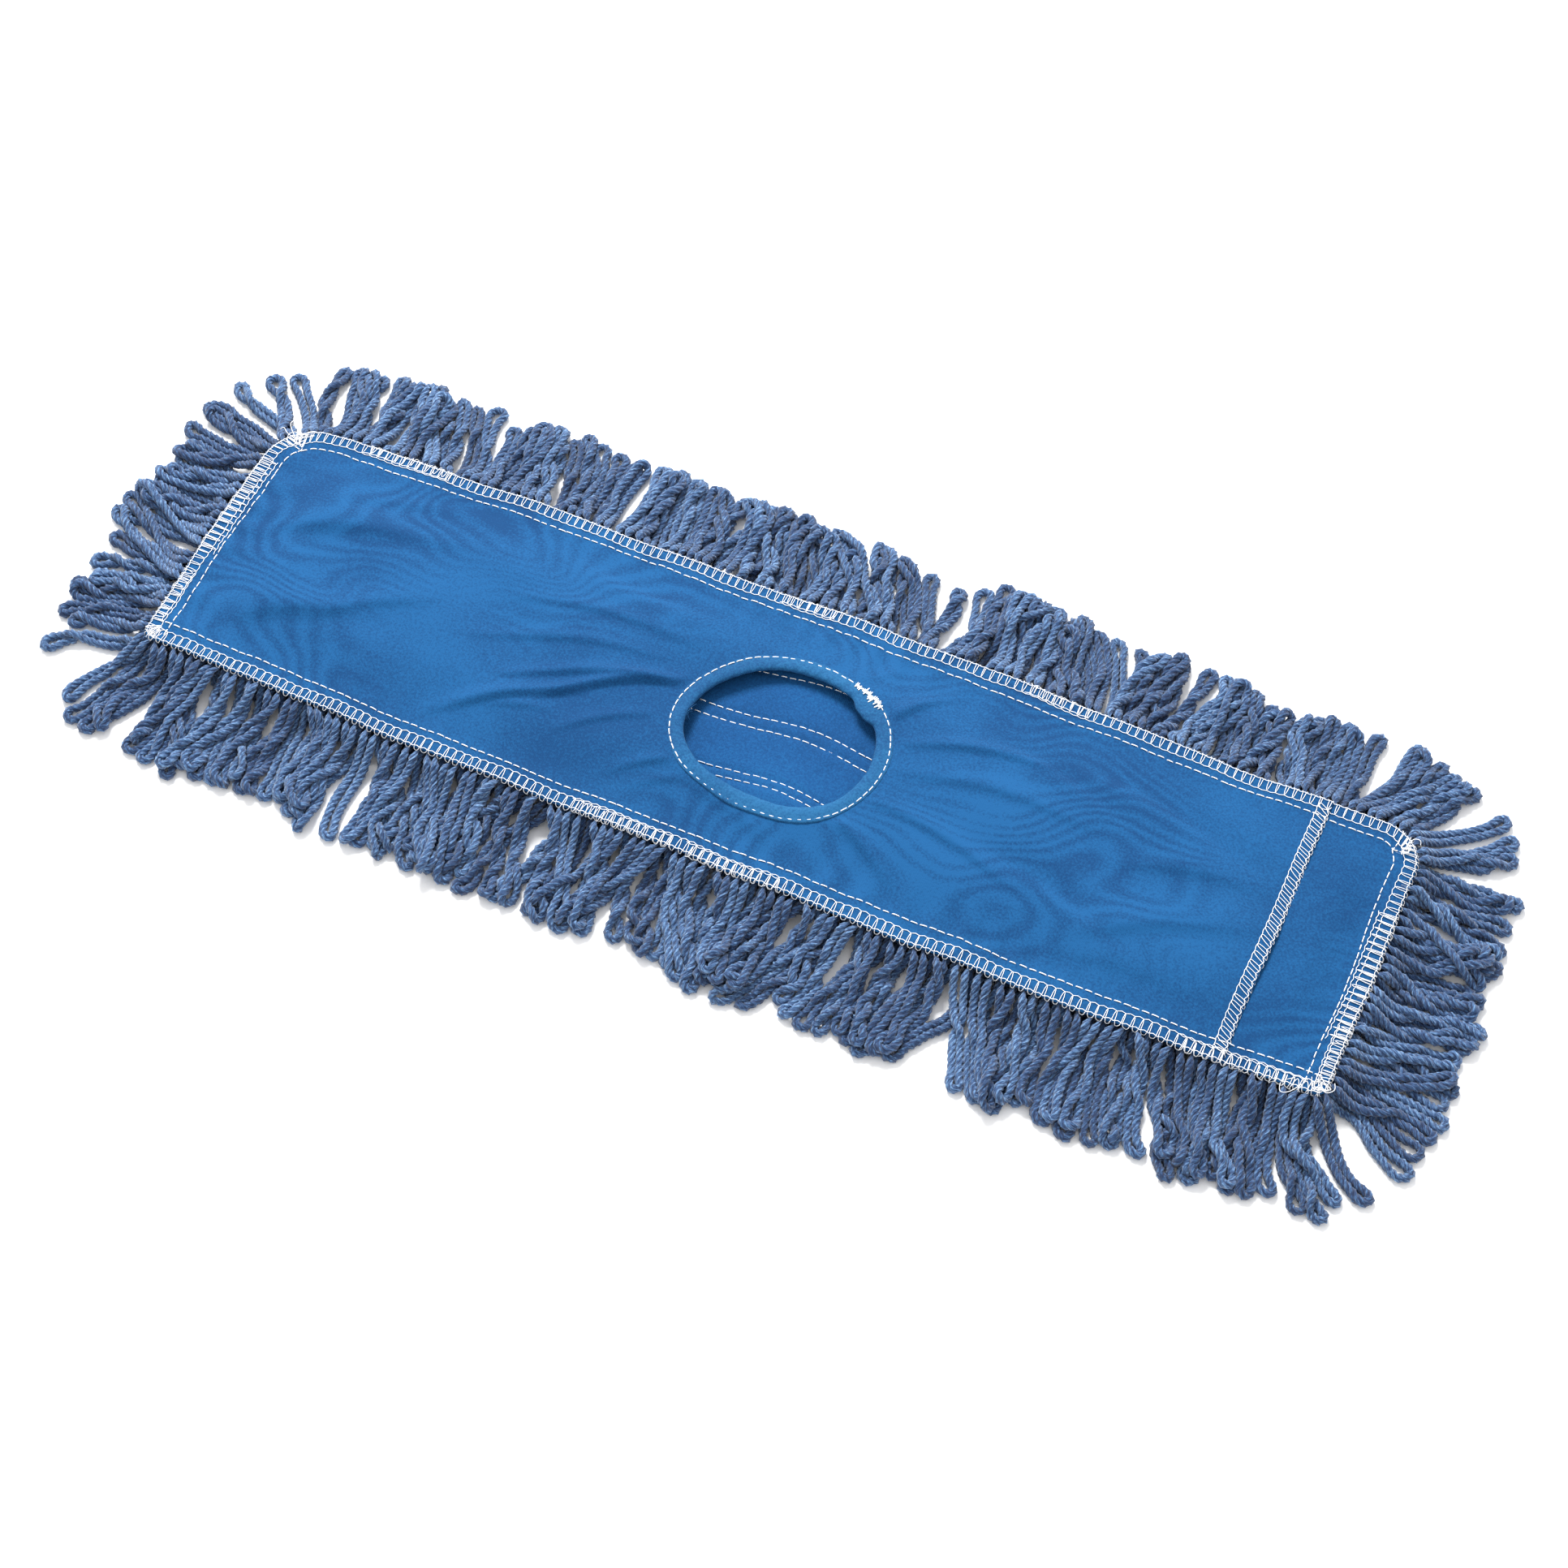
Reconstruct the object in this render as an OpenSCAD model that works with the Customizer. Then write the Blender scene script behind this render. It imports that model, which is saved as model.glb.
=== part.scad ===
// Looped-end dust mop head: a sewn cloth pocket for a flat frame, with rows of looped yarn
// under it and a fringe of yarn loops round its four edges.
// Millimetres. X runs along the head, +Z is up, and z = 0 is the floor that the yarn lies on.
// The origin is on the floor below the middle of the head.

/* [Cloth head] */
// Length of the sewn cloth head, edge to edge
fabric_l = 636; // [440:1:940]
// Width of the sewn cloth head, edge to edge
fabric_w = 162; // [132:1:236]
// Thickness of each layer of cloth
cloth_t = 1; // [0.6:0.1:1.4]
// Width of the margin in which all layers are sewn flat together
margin_w = 12; // [11:0.5:18]
// Width of the slope from the flat margin up to the raised middle
slope_w = 10; // [4:1:16]

/* [Pocket] */
// Height of the pocket, from the base cloth up to the cover
pocket_h = 7; // [6.5:0.1:12]
// Distance of the cover's free hem from the right end
mouth_inset = 50; // [36:1:80]
// Length of end panel that lies under the cover's hem
mouth_lap = 20; // [10:1:30]
// Clearance between the hem and the end panel in the middle of the mouth
mouth_gap = 1.2; // [1:0.1:2]

/* [Handle hole] */
// Distance of the hole's long sides from the cloth's edges, before the shift
hole_side = 43; // [36:1:50]
// Length of the straight middle of the hole's long sides, between its round ends
hole_straight = 22; // [10:1:80]
// Place of the hole's centre along the head
hole_x = 4.5; // [-20:0.5:20]
// Place of the hole's centre across the head
hole_y = 0; // [-6:0.5:6]
// Width of the folded tape that binds the hole's edge
binding_w = 8.5; // [6:0.5:12]
// Thickness of the binding tape
binding_t = 1; // [0.6:0.1:1.4]

/* [Yarn] */
// Thickness of the looped yarn pile under the base cloth
pile_h = 13; // [9:0.5:20]
// Distance of the pile from the cloth's edge
pile_inset = 8; // [8:0.5:14]
// Distance of the outermost yarn rows from the cloth's edge, before the shift
row_edge = 30; // [27:0.5:36]
// Shift of all yarn rows across the head
row_shift = -12.5; // [-13:0.5:13]
// Gap between neighbouring rows of pile
row_gap = 0.6; // [0.4:0.1:2]
// Distance between the two needle lines that sew each row
needle_gap = 6.5; // [4:0.5:8]
// Thickness of the yarn heading that is sewn into the edge
heading_t = 2; // [1.8:0.1:3]
// Width of the yarn heading
heading_w = 11; // [8:0.5:11]
// Reach of the fringe beyond the long edges
fringe_side_l = 61; // [45:1:90]
// Reach of the fringe beyond the two ends
fringe_end_l = 59; // [45:1:90]
// Distance of each fringe's bending line from the cloth's edge
bend_out = 5; // [5:0.5:8]
// Thickness of the fringe where it bends
root_t = 6; // [4:0.5:6]
// Thickness of the fringe where its loops lie on the floor
tip_t = 9; // [6:0.5:12]
// Length of the fringe that lies flat on the floor at its tips
lie_l = 16; // [8:1:24]

/* [Stitching] */
// Width of the overlock stitching round the edges
overlock_w = 7; // [5:0.5:8]
// Thickness of the overlock threads above and below the cloth
thread_t = 0.8; // [0.5:0.1:1]
// Distance of the lockstitch line from the cloth's edge
topstitch_in = 11.2; // [9:0.1:11.4]
// Width of each lockstitch line
line_w = 0.8; // [0.5:0.1:1]
// Height of each lockstitch line above the cloth
line_t = 0.4; // [0.3:0.1:0.6]
// Length of the dense tack on the binding
tack_l = 18; // [10:1:24]
// Width of that tack
tack_w = 3; // [2:0.5:4]
// Radius of the knot of threads at each corner
knot_r = 4; // [3:0.5:5]

/* [Hidden] */
$fn = 64;
// Spare length by which a cutting shape passes the face that it cuts
cut = 1;

// Heights, from the floor up
base_z = pile_h;
base_top = base_z + cloth_t;
rim_z = base_top + heading_t;
rim_top = rim_z + cloth_t;
end_rim_z = rim_z - cloth_t;
cover_z = base_top + pocket_h;
cover_top = cover_z + cloth_t;
end_z = cover_z - mouth_gap - cloth_t;
bend_z = (base_z + rim_top) / 2;

// Places in plan
half_l = fabric_l / 2;
half_w = fabric_w / 2;
hole_r = half_w - hole_side;
hole_reach = hole_straight / 2;
binding_stitch_out = 0.75 * binding_w;
tack_angle = 60;
tack_rise = 0.2;
knot_h = 1.2;
hem_x = half_l - mouth_inset;
lap_x = hem_x - mouth_lap;
stitch_x = half_l - topstitch_in;
stitch_y = half_w - topstitch_in;

// Yarn rows
row_count = 4;
row_pitch = (fabric_w - 2 * row_edge) / (row_count - 1);
pile_half_l = half_l - pile_inset;
pile_half_w = half_w - pile_inset;
stitch_clear = 2;

function row_y(i) = row_shift + (i - (row_count - 1) / 2) * row_pitch;
function row_from(i) = i == 0 ? -pile_half_w : (row_y(i - 1) + row_y(i)) / 2 + row_gap / 2;
function row_to(i) = i == row_count - 1 ? pile_half_w : (row_y(i) + row_y(i + 1)) / 2 - row_gap / 2;

// Gap that parts each long fringe from the loops that fan out round its two corners
corner_gap = 1;

// Colours
cloth_blue = [0.10, 0.40, 0.75];
lining_blue = [0.09, 0.33, 0.63];
yarn_blue = [0.27, 0.41, 0.63];
thread_white = [0.93, 0.94, 0.96];

// A box given by its lowest and highest corners
module block(low, high) {
    translate(low) cube(high - low);
}

// A profile in Y and Z, run along X from one place to another
module along_x(from, to) {
    translate([from, 0, 0]) rotate([90, 0, 90]) linear_extrude(to - from) children();
}

// A profile in X and Z, run along Y across the head
module along_y(from, to) {
    translate([0, to, 0]) rotate([90, 0, 0]) linear_extrude(to - from) children();
}

// Cross-section of the head up to a cloth that rises from its margins to a flat middle
module roof_profile_y(rim, top, foot, inset) {
    w = half_w - inset;
    m = half_w - margin_w;
    s = m - slope_w;
    polygon([[-w, foot], [-w, rim], [-m, rim], [-s, top], [s, top], [m, rim], [w, rim], [w, foot]]);
}

// Lengthwise section of the same cloth, with its margin at one end and its other end open
module roof_profile_x(rim, top, foot, inset, open_x) {
    w = half_l - inset;
    m = half_l - margin_w;
    s = m - slope_w;
    polygon([[-w, foot], [-w, rim], [-m, rim], [-s, top], [open_x, top], [open_x, foot]]);
}

// One layer of cloth over the pocket: margins at the left end and both sides, open at open_x
module roof_cloth(rim, top, open_x) {
    difference() {
        intersection() {
            along_x(-half_l, open_x) roof_profile_y(rim + cloth_t, top + cloth_t, rim, 0);
            along_y(-half_w, half_w) roof_profile_x(rim + cloth_t, top + cloth_t, rim, 0, open_x);
        }
        intersection() {
            along_x(-half_l, open_x + cut) roof_profile_y(rim, top, rim - cut, margin_w);
            along_y(-half_w, half_w) roof_profile_x(rim, top, rim - cut, margin_w, open_x + cut);
        }
    }
}

// Outline of the handle hole, grown outwards
module hole_outline(grow) {
    r = hole_r + grow;
    translate([hole_x, hole_y]) {
        translate([-hole_reach, 0]) circle(r, $fn = 96);
        translate([hole_reach, 0]) circle(r, $fn = 96);
        square([hole_straight, 2 * r], center = true);
    }
}

// An upright ring round the handle hole, from one growth of its outline to another
module hole_ring(inner, outer) {
    linear_extrude(2 * cover_top) difference() {
        hole_outline(outer);
        hole_outline(inner);
    }
}

// The layer that lies over the cover's middle, from low to high above its underside
module over_cover(low, high) {
    reach = half_l - margin_w - slope_w;
    difference() {
        along_x(-reach, reach) roof_profile_y(rim_z + high, cover_z + high, base_z, 0);
        along_x(-reach - cut, reach + cut) roof_profile_y(rim_z + low, cover_z + low, base_z - cut, -cut);
    }
}

module base_panel() {
    color(lining_blue) block([-half_l, -half_w, base_z], [half_l, half_w, base_top]);
}

module cover_panel() {
    color(cloth_blue) difference() {
        roof_cloth(rim_z, cover_z, hem_x);
        linear_extrude(2 * cover_top) hole_outline(binding_t);
    }
}

module end_panel() {
    color(cloth_blue) mirror([1, 0, 0]) roof_cloth(end_rim_z, end_z, -lap_x);
}

// Tape folded over the cover's cut edge, above it, below it and inside the hole
module hole_binding() {
    color(cloth_blue) {
        intersection() {
            hole_ring(0, binding_t);
            over_cover(-binding_t, cloth_t + binding_t);
        }
        intersection() {
            hole_ring(binding_t, binding_w);
            over_cover(cloth_t, cloth_t + binding_t);
        }
        intersection() {
            hole_ring(binding_t, binding_w);
            over_cover(-binding_t, 0);
        }
    }
}

// Upright block of the tack, across the binding's stitch line near the back right
module tack_block(spare) {
    side = tack_w / 2 + spare;
    end = tack_l / 2 + spare;
    translate([hole_x + hole_reach, hole_y, 0]) rotate([0, 0, tack_angle])
        translate([hole_r + binding_stitch_out, 0, 0]) block([-side, -end, 0], [side, end, 2 * cover_top]);
}

module hole_binding_stitch() {
    inner = binding_stitch_out - line_w / 2;
    outer = binding_stitch_out + line_w / 2;
    color(thread_white) difference() {
        intersection() {
            hole_ring(inner, outer);
            over_cover(cloth_t + binding_t, cloth_t + binding_t + line_t);
        }
        tack_block(tack_rise);
    }
}

module hole_tack() {
    color(thread_white) intersection() {
        tack_block(0);
        over_cover(cloth_t + binding_t, cloth_t + binding_t + line_t + tack_rise);
    }
}

// Threads that wrap the cover's free hem, where the hem clears the end panel
module mouth_overlock() {
    side = half_w - margin_w - 0.75 * slope_w;
    color(thread_white) difference() {
        intersection() {
            along_x(hem_x - overlock_w, hem_x + thread_t)
                roof_profile_y(rim_top + thread_t, cover_top + thread_t, rim_z, 0);
            block([lap_x, -side, rim_z], [half_l, side, cover_top + thread_t]);
        }
        along_x(lap_x, half_l)
            roof_profile_y(rim_z - mouth_gap / 2, cover_z - mouth_gap / 2, rim_z - cloth_t, -cut);
        along_x(lap_x, hem_x) difference() {
            roof_profile_y(rim_top, cover_top, rim_z - cloth_t, 0);
            roof_profile_y(rim_z, cover_z, rim_z - cloth_t - cut, -cut);
        }
    }
}

// Threads that wrap the pressed layers along a long edge, from one place to another
module long_wrap(from, to, top) {
    inner = half_w - overlock_w;
    block([from, -half_w, top], [to, -inner, top + thread_t]);
    block([from, -half_w - thread_t, base_z - thread_t], [to, -half_w, top + thread_t]);
    block([from, -half_w, base_z - thread_t], [to, -inner, base_z]);
}

module overlock_long() {
    long_wrap(-half_l, hem_x, rim_top);
    long_wrap(hem_x, half_l, rim_z);
}

// Threads that wrap the pressed layers at the left end, up to the given height
module overlock_end(top) {
    inner = half_l - overlock_w;
    side = half_w - overlock_w;
    block([-half_l, -side, top], [-inner, side, top + thread_t]);
    block([-half_l - thread_t, -half_w, base_z - thread_t], [-half_l, half_w, top + thread_t]);
    block([-half_l, -side, base_z - thread_t], [-inner, side, base_z]);
}

module overlock_front() {
    color(thread_white) overlock_long();
}

module overlock_back() {
    color(thread_white) mirror([0, 1, 0]) overlock_long();
}

module overlock_left() {
    color(thread_white) overlock_end(rim_top);
}

module overlock_right() {
    color(thread_white) mirror([1, 0, 0]) overlock_end(rim_z);
}

// Lockstitch line along a long edge: on the cover as far as its hem, then on the end panel
module topstitch_long() {
    left = -stitch_x + line_w / 2;
    right = stitch_x - line_w / 2;
    low = -stitch_y - line_w / 2;
    high = -stitch_y + line_w / 2;
    block([left, low, rim_top], [hem_x, high, rim_top + line_t]);
    block([hem_x + line_w, low, rim_z], [right, high, rim_z + line_t]);
}

// Lockstitch line across the left end
module topstitch_end(top) {
    side = stitch_y + line_w / 2;
    block([-stitch_x - line_w / 2, -side, top], [-stitch_x + line_w / 2, side, top + line_t]);
}

module topstitch_front() {
    color(thread_white) topstitch_long();
}

module topstitch_back() {
    color(thread_white) mirror([0, 1, 0]) topstitch_long();
}

module topstitch_left() {
    color(thread_white) topstitch_end(rim_top);
}

module topstitch_right() {
    color(thread_white) mirror([1, 0, 0]) topstitch_end(rim_z);
}

// Sewn heading of the fringe along a long edge, thinner where the end panel joins the layers
module heading_long() {
    block([-half_l, -half_w, base_top], [lap_x, -half_w + heading_w, rim_z]);
    block([lap_x, -half_w, base_top], [half_l, -half_w + heading_w, end_rim_z]);
}

// Sewn heading across the left end
module heading_end(top) {
    side = half_w - heading_w;
    block([-half_l, -side, base_top], [-half_l + heading_w, side, top]);
}

module heading_front() {
    color(yarn_blue) heading_long();
}

module heading_back() {
    color(yarn_blue) mirror([0, 1, 0]) heading_long();
}

module heading_left() {
    color(yarn_blue) heading_end(rim_z);
}

module heading_right() {
    color(yarn_blue) mirror([1, 0, 0]) heading_end(end_rim_z);
}

// One row of yarn loops under the base cloth, lying on the floor
module pile_row(i) {
    color(yarn_blue) block([-pile_half_l, row_from(i), 0], [pile_half_l, row_to(i), base_z]);
}

// The two needle lines of one row, on top of the base cloth inside the pocket
module row_stitch(i) {
    reach = half_l - margin_w - stitch_clear;
    color(thread_white) for (side = [-1, 1]) {
        y = row_y(i) + side * needle_gap / 2;
        block([-reach, y - line_w / 2, base_top], [reach, y + line_w / 2, base_top + line_t]);
    }
}

// Knot of thread ends on top of a corner
module corner_knot(side_x, side_y) {
    top = side_x < 0 ? rim_top : rim_z;
    x = side_x * (half_l - knot_r);
    y = side_y * (half_w - knot_r);
    color(thread_white) translate([x, y, top + thread_t]) cylinder(h = knot_h, r = knot_r);
}

// Section of a fringe: distance out from the cloth's edge, and height
module fringe_profile(reach) {
    nose = tip_t / 3;
    polygon([
        [bend_out, bend_z - root_t / 2],
        [bend_out, bend_z + root_t / 2],
        [reach - nose, tip_t],
        [reach, tip_t - nose],
        [reach, nose / 2],
        [reach - nose / 2, 0],
        [reach - lie_l, 0]
    ]);
}

// Fringe along a long edge
module fringe_long() {
    color(yarn_blue) along_x(-half_l + corner_gap, half_l - corner_gap)
        translate([half_w, 0]) fringe_profile(fringe_side_l);
}

// Fringe across an end, with the loops that fan out round the two corners
module fringe_end() {
    reach = half_w + fringe_end_l;
    color(yarn_blue) intersection() {
        along_y(-reach, reach) translate([half_l, 0]) fringe_profile(fringe_end_l);
        linear_extrude(rim_top + root_t) {
            for (side = [-1, 1]) {
                translate([half_l, side * half_w]) circle(fringe_end_l, $fn = 96);
            }
            translate([half_l, -half_w]) square([fringe_end_l, fabric_w]);
        }
    }
}

module fringe_back() {
    fringe_long();
}

module fringe_front() {
    mirror([0, 1, 0]) fringe_long();
}

module fringe_right() {
    fringe_end();
}

module fringe_left() {
    mirror([1, 0, 0]) fringe_end();
}

base_panel();
cover_panel();
end_panel();
hole_binding();
hole_binding_stitch();
hole_tack();
mouth_overlock();
overlock_front();
overlock_back();
overlock_left();
overlock_right();
topstitch_front();
topstitch_back();
topstitch_left();
topstitch_right();
heading_front();
heading_back();
heading_left();
heading_right();
pile_row(0);  // pile_row_1
pile_row(1);  // pile_row_2
pile_row(2);  // pile_row_3
pile_row(3);  // pile_row_4
row_stitch(0);  // row_stitch_1
row_stitch(1);  // row_stitch_2
row_stitch(2);  // row_stitch_3
row_stitch(3);  // row_stitch_4
corner_knot(-1, -1);  // corner_knot_1
corner_knot(-1, 1);  // corner_knot_2
corner_knot(1, 1);  // corner_knot_3
corner_knot(1, -1);  // corner_knot_4
fringe_front();
fringe_back();
fringe_left();
fringe_right();
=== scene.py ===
import bpy
import math
import numpy as np
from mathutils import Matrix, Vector


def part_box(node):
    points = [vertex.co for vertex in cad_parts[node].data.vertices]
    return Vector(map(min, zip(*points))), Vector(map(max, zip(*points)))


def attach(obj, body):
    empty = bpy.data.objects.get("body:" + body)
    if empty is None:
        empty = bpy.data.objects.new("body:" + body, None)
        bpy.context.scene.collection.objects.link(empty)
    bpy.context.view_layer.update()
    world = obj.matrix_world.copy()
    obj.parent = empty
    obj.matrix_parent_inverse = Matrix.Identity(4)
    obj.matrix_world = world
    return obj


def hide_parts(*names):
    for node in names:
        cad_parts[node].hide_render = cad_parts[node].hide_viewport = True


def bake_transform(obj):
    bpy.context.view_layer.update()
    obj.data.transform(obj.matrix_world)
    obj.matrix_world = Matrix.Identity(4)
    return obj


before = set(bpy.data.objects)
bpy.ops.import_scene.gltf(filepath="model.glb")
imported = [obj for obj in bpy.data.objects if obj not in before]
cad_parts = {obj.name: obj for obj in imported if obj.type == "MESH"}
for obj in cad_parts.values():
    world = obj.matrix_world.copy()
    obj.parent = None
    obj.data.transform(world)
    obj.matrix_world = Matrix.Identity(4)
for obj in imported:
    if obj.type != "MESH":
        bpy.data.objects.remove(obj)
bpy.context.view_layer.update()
bpy.ops.object.select_all(action="DESELECT")
mm = 0.001
rng = np.random.default_rng(11)

# Sizes and places of the CAD pieces, which the cloth, thread and yarn follow
baseLow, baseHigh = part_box("base_panel")
coverLow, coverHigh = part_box("cover_panel")
endLow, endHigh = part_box("end_panel")
ringLow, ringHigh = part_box("hole_binding")
halfLength = baseHigh.x
halfWidth = baseHigh.y
hemX = coverHigh.x
lapX = endLow.x
clothStep = baseHigh.z - baseLow.z
rimTop = coverLow.z + clothStep
endRimTop = endLow.z + clothStep
crown = coverHigh.z - rimTop
holeX = (ringLow.x + ringHigh.x) / 2
holeY = (ringLow.y + ringHigh.y) / 2
print("frame loaded")


# Camera, light and floor
view = {"azimuth": 24.448, "elevation": 57.961, "distance": 1.6036, "aimX": 0.0173, "aimY": -0.0243, "lens": 74.5}
light = {"sky": 1.04, "keyPower": 140.0, "keySize": 1.0, "keyAt": (-1.1, 1.6, 2.3), "floor": "#fafafa"}


def placeCamera():
    turn, lift = math.radians(view["azimuth"]), math.radians(view["elevation"])
    aim = Vector((view["aimX"], view["aimY"], rimTop))
    back = Vector((math.sin(turn) * math.cos(lift), -math.cos(turn) * math.cos(lift), math.sin(lift)))
    bpy.ops.object.camera_add(location=aim + back * view["distance"])
    camera = bpy.context.object
    camera.name = "camera"
    camera.rotation_euler = (-back).to_track_quat("-Z", "Y").to_euler()
    camera.data.lens = view["lens"]
    bpy.context.scene.camera = camera


def placeLights():
    scene = bpy.context.scene
    scene.view_settings.view_transform = "Standard"
    world = bpy.data.worlds.new("studio")
    scene.world = world
    world.use_nodes = True
    world.node_tree.nodes["Background"].inputs["Strength"].default_value = light["sky"]
    world.node_tree.nodes["Background"].inputs["Color"].default_value = (1, 1, 1, 1)
    bpy.ops.object.light_add(type="AREA", location=light["keyAt"])
    key = bpy.context.object
    key.name = "keyLight"
    key.data.size = light["keySize"]
    key.data.energy = light["keyPower"]
    key.rotation_euler = Vector(light["keyAt"]).to_track_quat("Z", "Y").to_euler()


placeCamera()
placeLights()


# Material tools
def linearColour(code):
    parts = [int(code[i:i + 2], 16) / 255 for i in (1, 3, 5)]
    return [p / 12.92 if p <= 0.04045 else ((p + 0.055) / 1.055) ** 2.4 for p in parts] + [1.0]


def addNode(tree, kind, inputs=None, **settings):
    node = tree.nodes.new(kind)
    for name, value in settings.items():
        setattr(node, name, value)
    for name, value in (inputs or {}).items():
        if isinstance(value, bpy.types.NodeSocket):
            tree.links.new(value, node.inputs[name])
        else:
            node.inputs[name].default_value = value
    return node


def newMaterial(name, roughness, sheen=0.0, sheenRoughness=0.5, specular=0.5):
    material = bpy.data.materials.new(name)
    material.use_nodes = True
    shader = material.node_tree.nodes["Principled BSDF"]
    for socket, value in (("Roughness", roughness), ("Sheen Weight", sheen), ("Sheen Roughness", sheenRoughness),
                          ("Specular IOR Level", specular)):
        shader.inputs[socket].default_value = value
    return material, material.node_tree, shader


def colourRamp(tree, factor, stops):
    ramp = addNode(tree, "ShaderNodeValToRGB", {"Fac": factor})
    while len(ramp.color_ramp.elements) < len(stops):
        ramp.color_ramp.elements.new(0.5)
    for element, (place, code) in zip(ramp.color_ramp.elements, stops):
        element.position = place
        element.color = linearColour(code)
    return ramp


# Polyester and cotton drill, dyed and woven in a fine twill: dull, with a faint diagonal line and painted shade bands
def twillCloth(name, pale, middle, deep, bands=0.0):
    material, tree, shader = newMaterial(name, 0.82, sheen=0.03, specular=0.15)
    place = addNode(tree, "ShaderNodeTexCoord").outputs["Object"]
    cloud = addNode(tree, "ShaderNodeTexNoise", {"Vector": place, "Scale": 14.0, "Detail": 3.0})
    # The real twill line is 0.5 mm, too fine to show, so it is drawn at 1.3 mm
    twill = addNode(tree, "ShaderNodeTexWave", {"Vector": place, "Scale": 480.0, "Distortion": 1.2, "Detail": 1.0},
                    wave_type="BANDS", bands_direction="DIAGONAL")
    slub = addNode(tree, "ShaderNodeTexNoise", {"Vector": place, "Scale": 900.0, "Detail": 2.0})
    # Painted shade bands about 5 mm apart, for the light and shade of fine ripples, that run like a map's height lines
    long = addNode(tree, "ShaderNodeMapping", {"Vector": place, "Scale": (0.55, 1.0, 1.0)})
    land = addNode(tree, "ShaderNodeTexNoise", {"Vector": long.outputs["Vector"], "Scale": 9.0, "Detail": 2.0})
    turns = addNode(tree, "ShaderNodeMath", {0: land.outputs["Fac"], 1: 230.0}, operation="MULTIPLY")
    band = addNode(tree, "ShaderNodeMath", {0: turns.outputs["Value"]}, operation="SINE")
    patch = addNode(tree, "ShaderNodeTexNoise", {"Vector": place, "Scale": 9.0, "Detail": 1.0})
    amount = addNode(tree, "ShaderNodeMapRange", {"Value": patch.outputs["Fac"], "From Min": 0.42, "From Max": 0.6,
                     "To Min": 0.0, "To Max": bands})
    # Painted shade: the bands lighten and darken the cloth's colour where unmodelled ripples would catch and lose light
    paintedRippleShade = addNode(tree, "ShaderNodeMath", {0: band.outputs["Value"], 1: amount.outputs["Result"]},
                    operation="MULTIPLY")
    mixed = addNode(tree, "ShaderNodeMath", {0: cloud.outputs["Fac"], 1: slub.outputs["Fac"]}, operation="ADD")
    half = addNode(tree, "ShaderNodeMath", {0: mixed.outputs["Value"], 1: 0.5}, operation="MULTIPLY")
    tone = addNode(tree, "ShaderNodeMath", {0: half.outputs["Value"], 1: paintedRippleShade.outputs["Value"]}, operation="SUBTRACT")
    ramp = colourRamp(tree, tone.outputs["Value"], [(0.39, deep), (0.5, middle), (0.61, pale)])
    tree.links.new(ramp.outputs["Color"], shader.inputs["Base Color"])
    weave = addNode(tree, "ShaderNodeBump", {"Height": twill.outputs["Fac"], "Strength": 0.25, "Distance": 0.0002})
    rough = addNode(tree, "ShaderNodeBump", {"Height": slub.outputs["Fac"], "Normal": weave.outputs["Normal"],
                    "Strength": 0.45, "Distance": 0.0003})
    tree.links.new(rough.outputs["Normal"], shader.inputs["Normal"])
    return material


# Plied cotton-blend yarn, heathered blue: hairy and very dull, with painted shade where the plies meet
def pliedYarn(name):
    material, tree, shader = newMaterial(name, 0.95, sheen=0.25, sheenRoughness=0.6, specular=0.15)
    along = addNode(tree, "ShaderNodeUVMap", uv_map="UVMap")
    # Fibres are drawn 0.5 mm wide and 1.3 mm long, and flecks twice as large, coarser than real ones, so that they show
    stretch = addNode(tree, "ShaderNodeMapping", {"Vector": along.outputs["UV"], "Scale": (260.0, 9.0, 1.0)})
    fibre = addNode(tree, "ShaderNodeTexNoise", {"Vector": stretch.outputs["Vector"], "Scale": 3.0, "Detail": 4.0,
                    "Roughness": 0.65})
    fleck = addNode(tree, "ShaderNodeTexNoise", {"Vector": stretch.outputs["Vector"], "Scale": 1.5, "Detail": 1.0})
    strand = addNode(tree, "ShaderNodeAttribute", attribute_name="strand")
    plyGrooveShade = addNode(tree, "ShaderNodeAttribute", attribute_name="plyGrooveShade")
    shift = addNode(tree, "ShaderNodeMath", {0: strand.outputs["Fac"], 1: 0.05}, operation="MULTIPLY")
    heather = addNode(tree, "ShaderNodeMix", {"Factor": 0.5, 2: fibre.outputs["Fac"], 3: fleck.outputs["Fac"]},
                      data_type="FLOAT")
    tone = addNode(tree, "ShaderNodeMath", {0: heather.outputs[0], 1: shift.outputs["Value"]}, operation="ADD")
    ramp = colourRamp(tree, tone.outputs["Value"], [(0.42, "#213b62"), (0.48, "#375782"), (0.55, "#4a709e"),
                                                    (0.63, "#7a9fc8")])
    # Painted shade: the colour is multiplied darker along the grooves between the plies, where shade falls
    fold = colourRamp(tree, plyGrooveShade.outputs["Fac"], [(0.25, "#ffffff"), (1.0, "#8e97ac")])
    colour = addNode(tree, "ShaderNodeMix", {"Factor": 1.0, 6: ramp.outputs["Color"], 7: fold.outputs["Color"]},
                     data_type="RGBA", blend_type="MULTIPLY")
    tree.links.new(colour.outputs[2], shader.inputs["Base Color"])
    bump = addNode(tree, "ShaderNodeBump", {"Height": fibre.outputs["Fac"], "Strength": 0.8, "Distance": 0.0006})
    tree.links.new(bump.outputs["Normal"], shader.inputs["Normal"])
    return material


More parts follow.
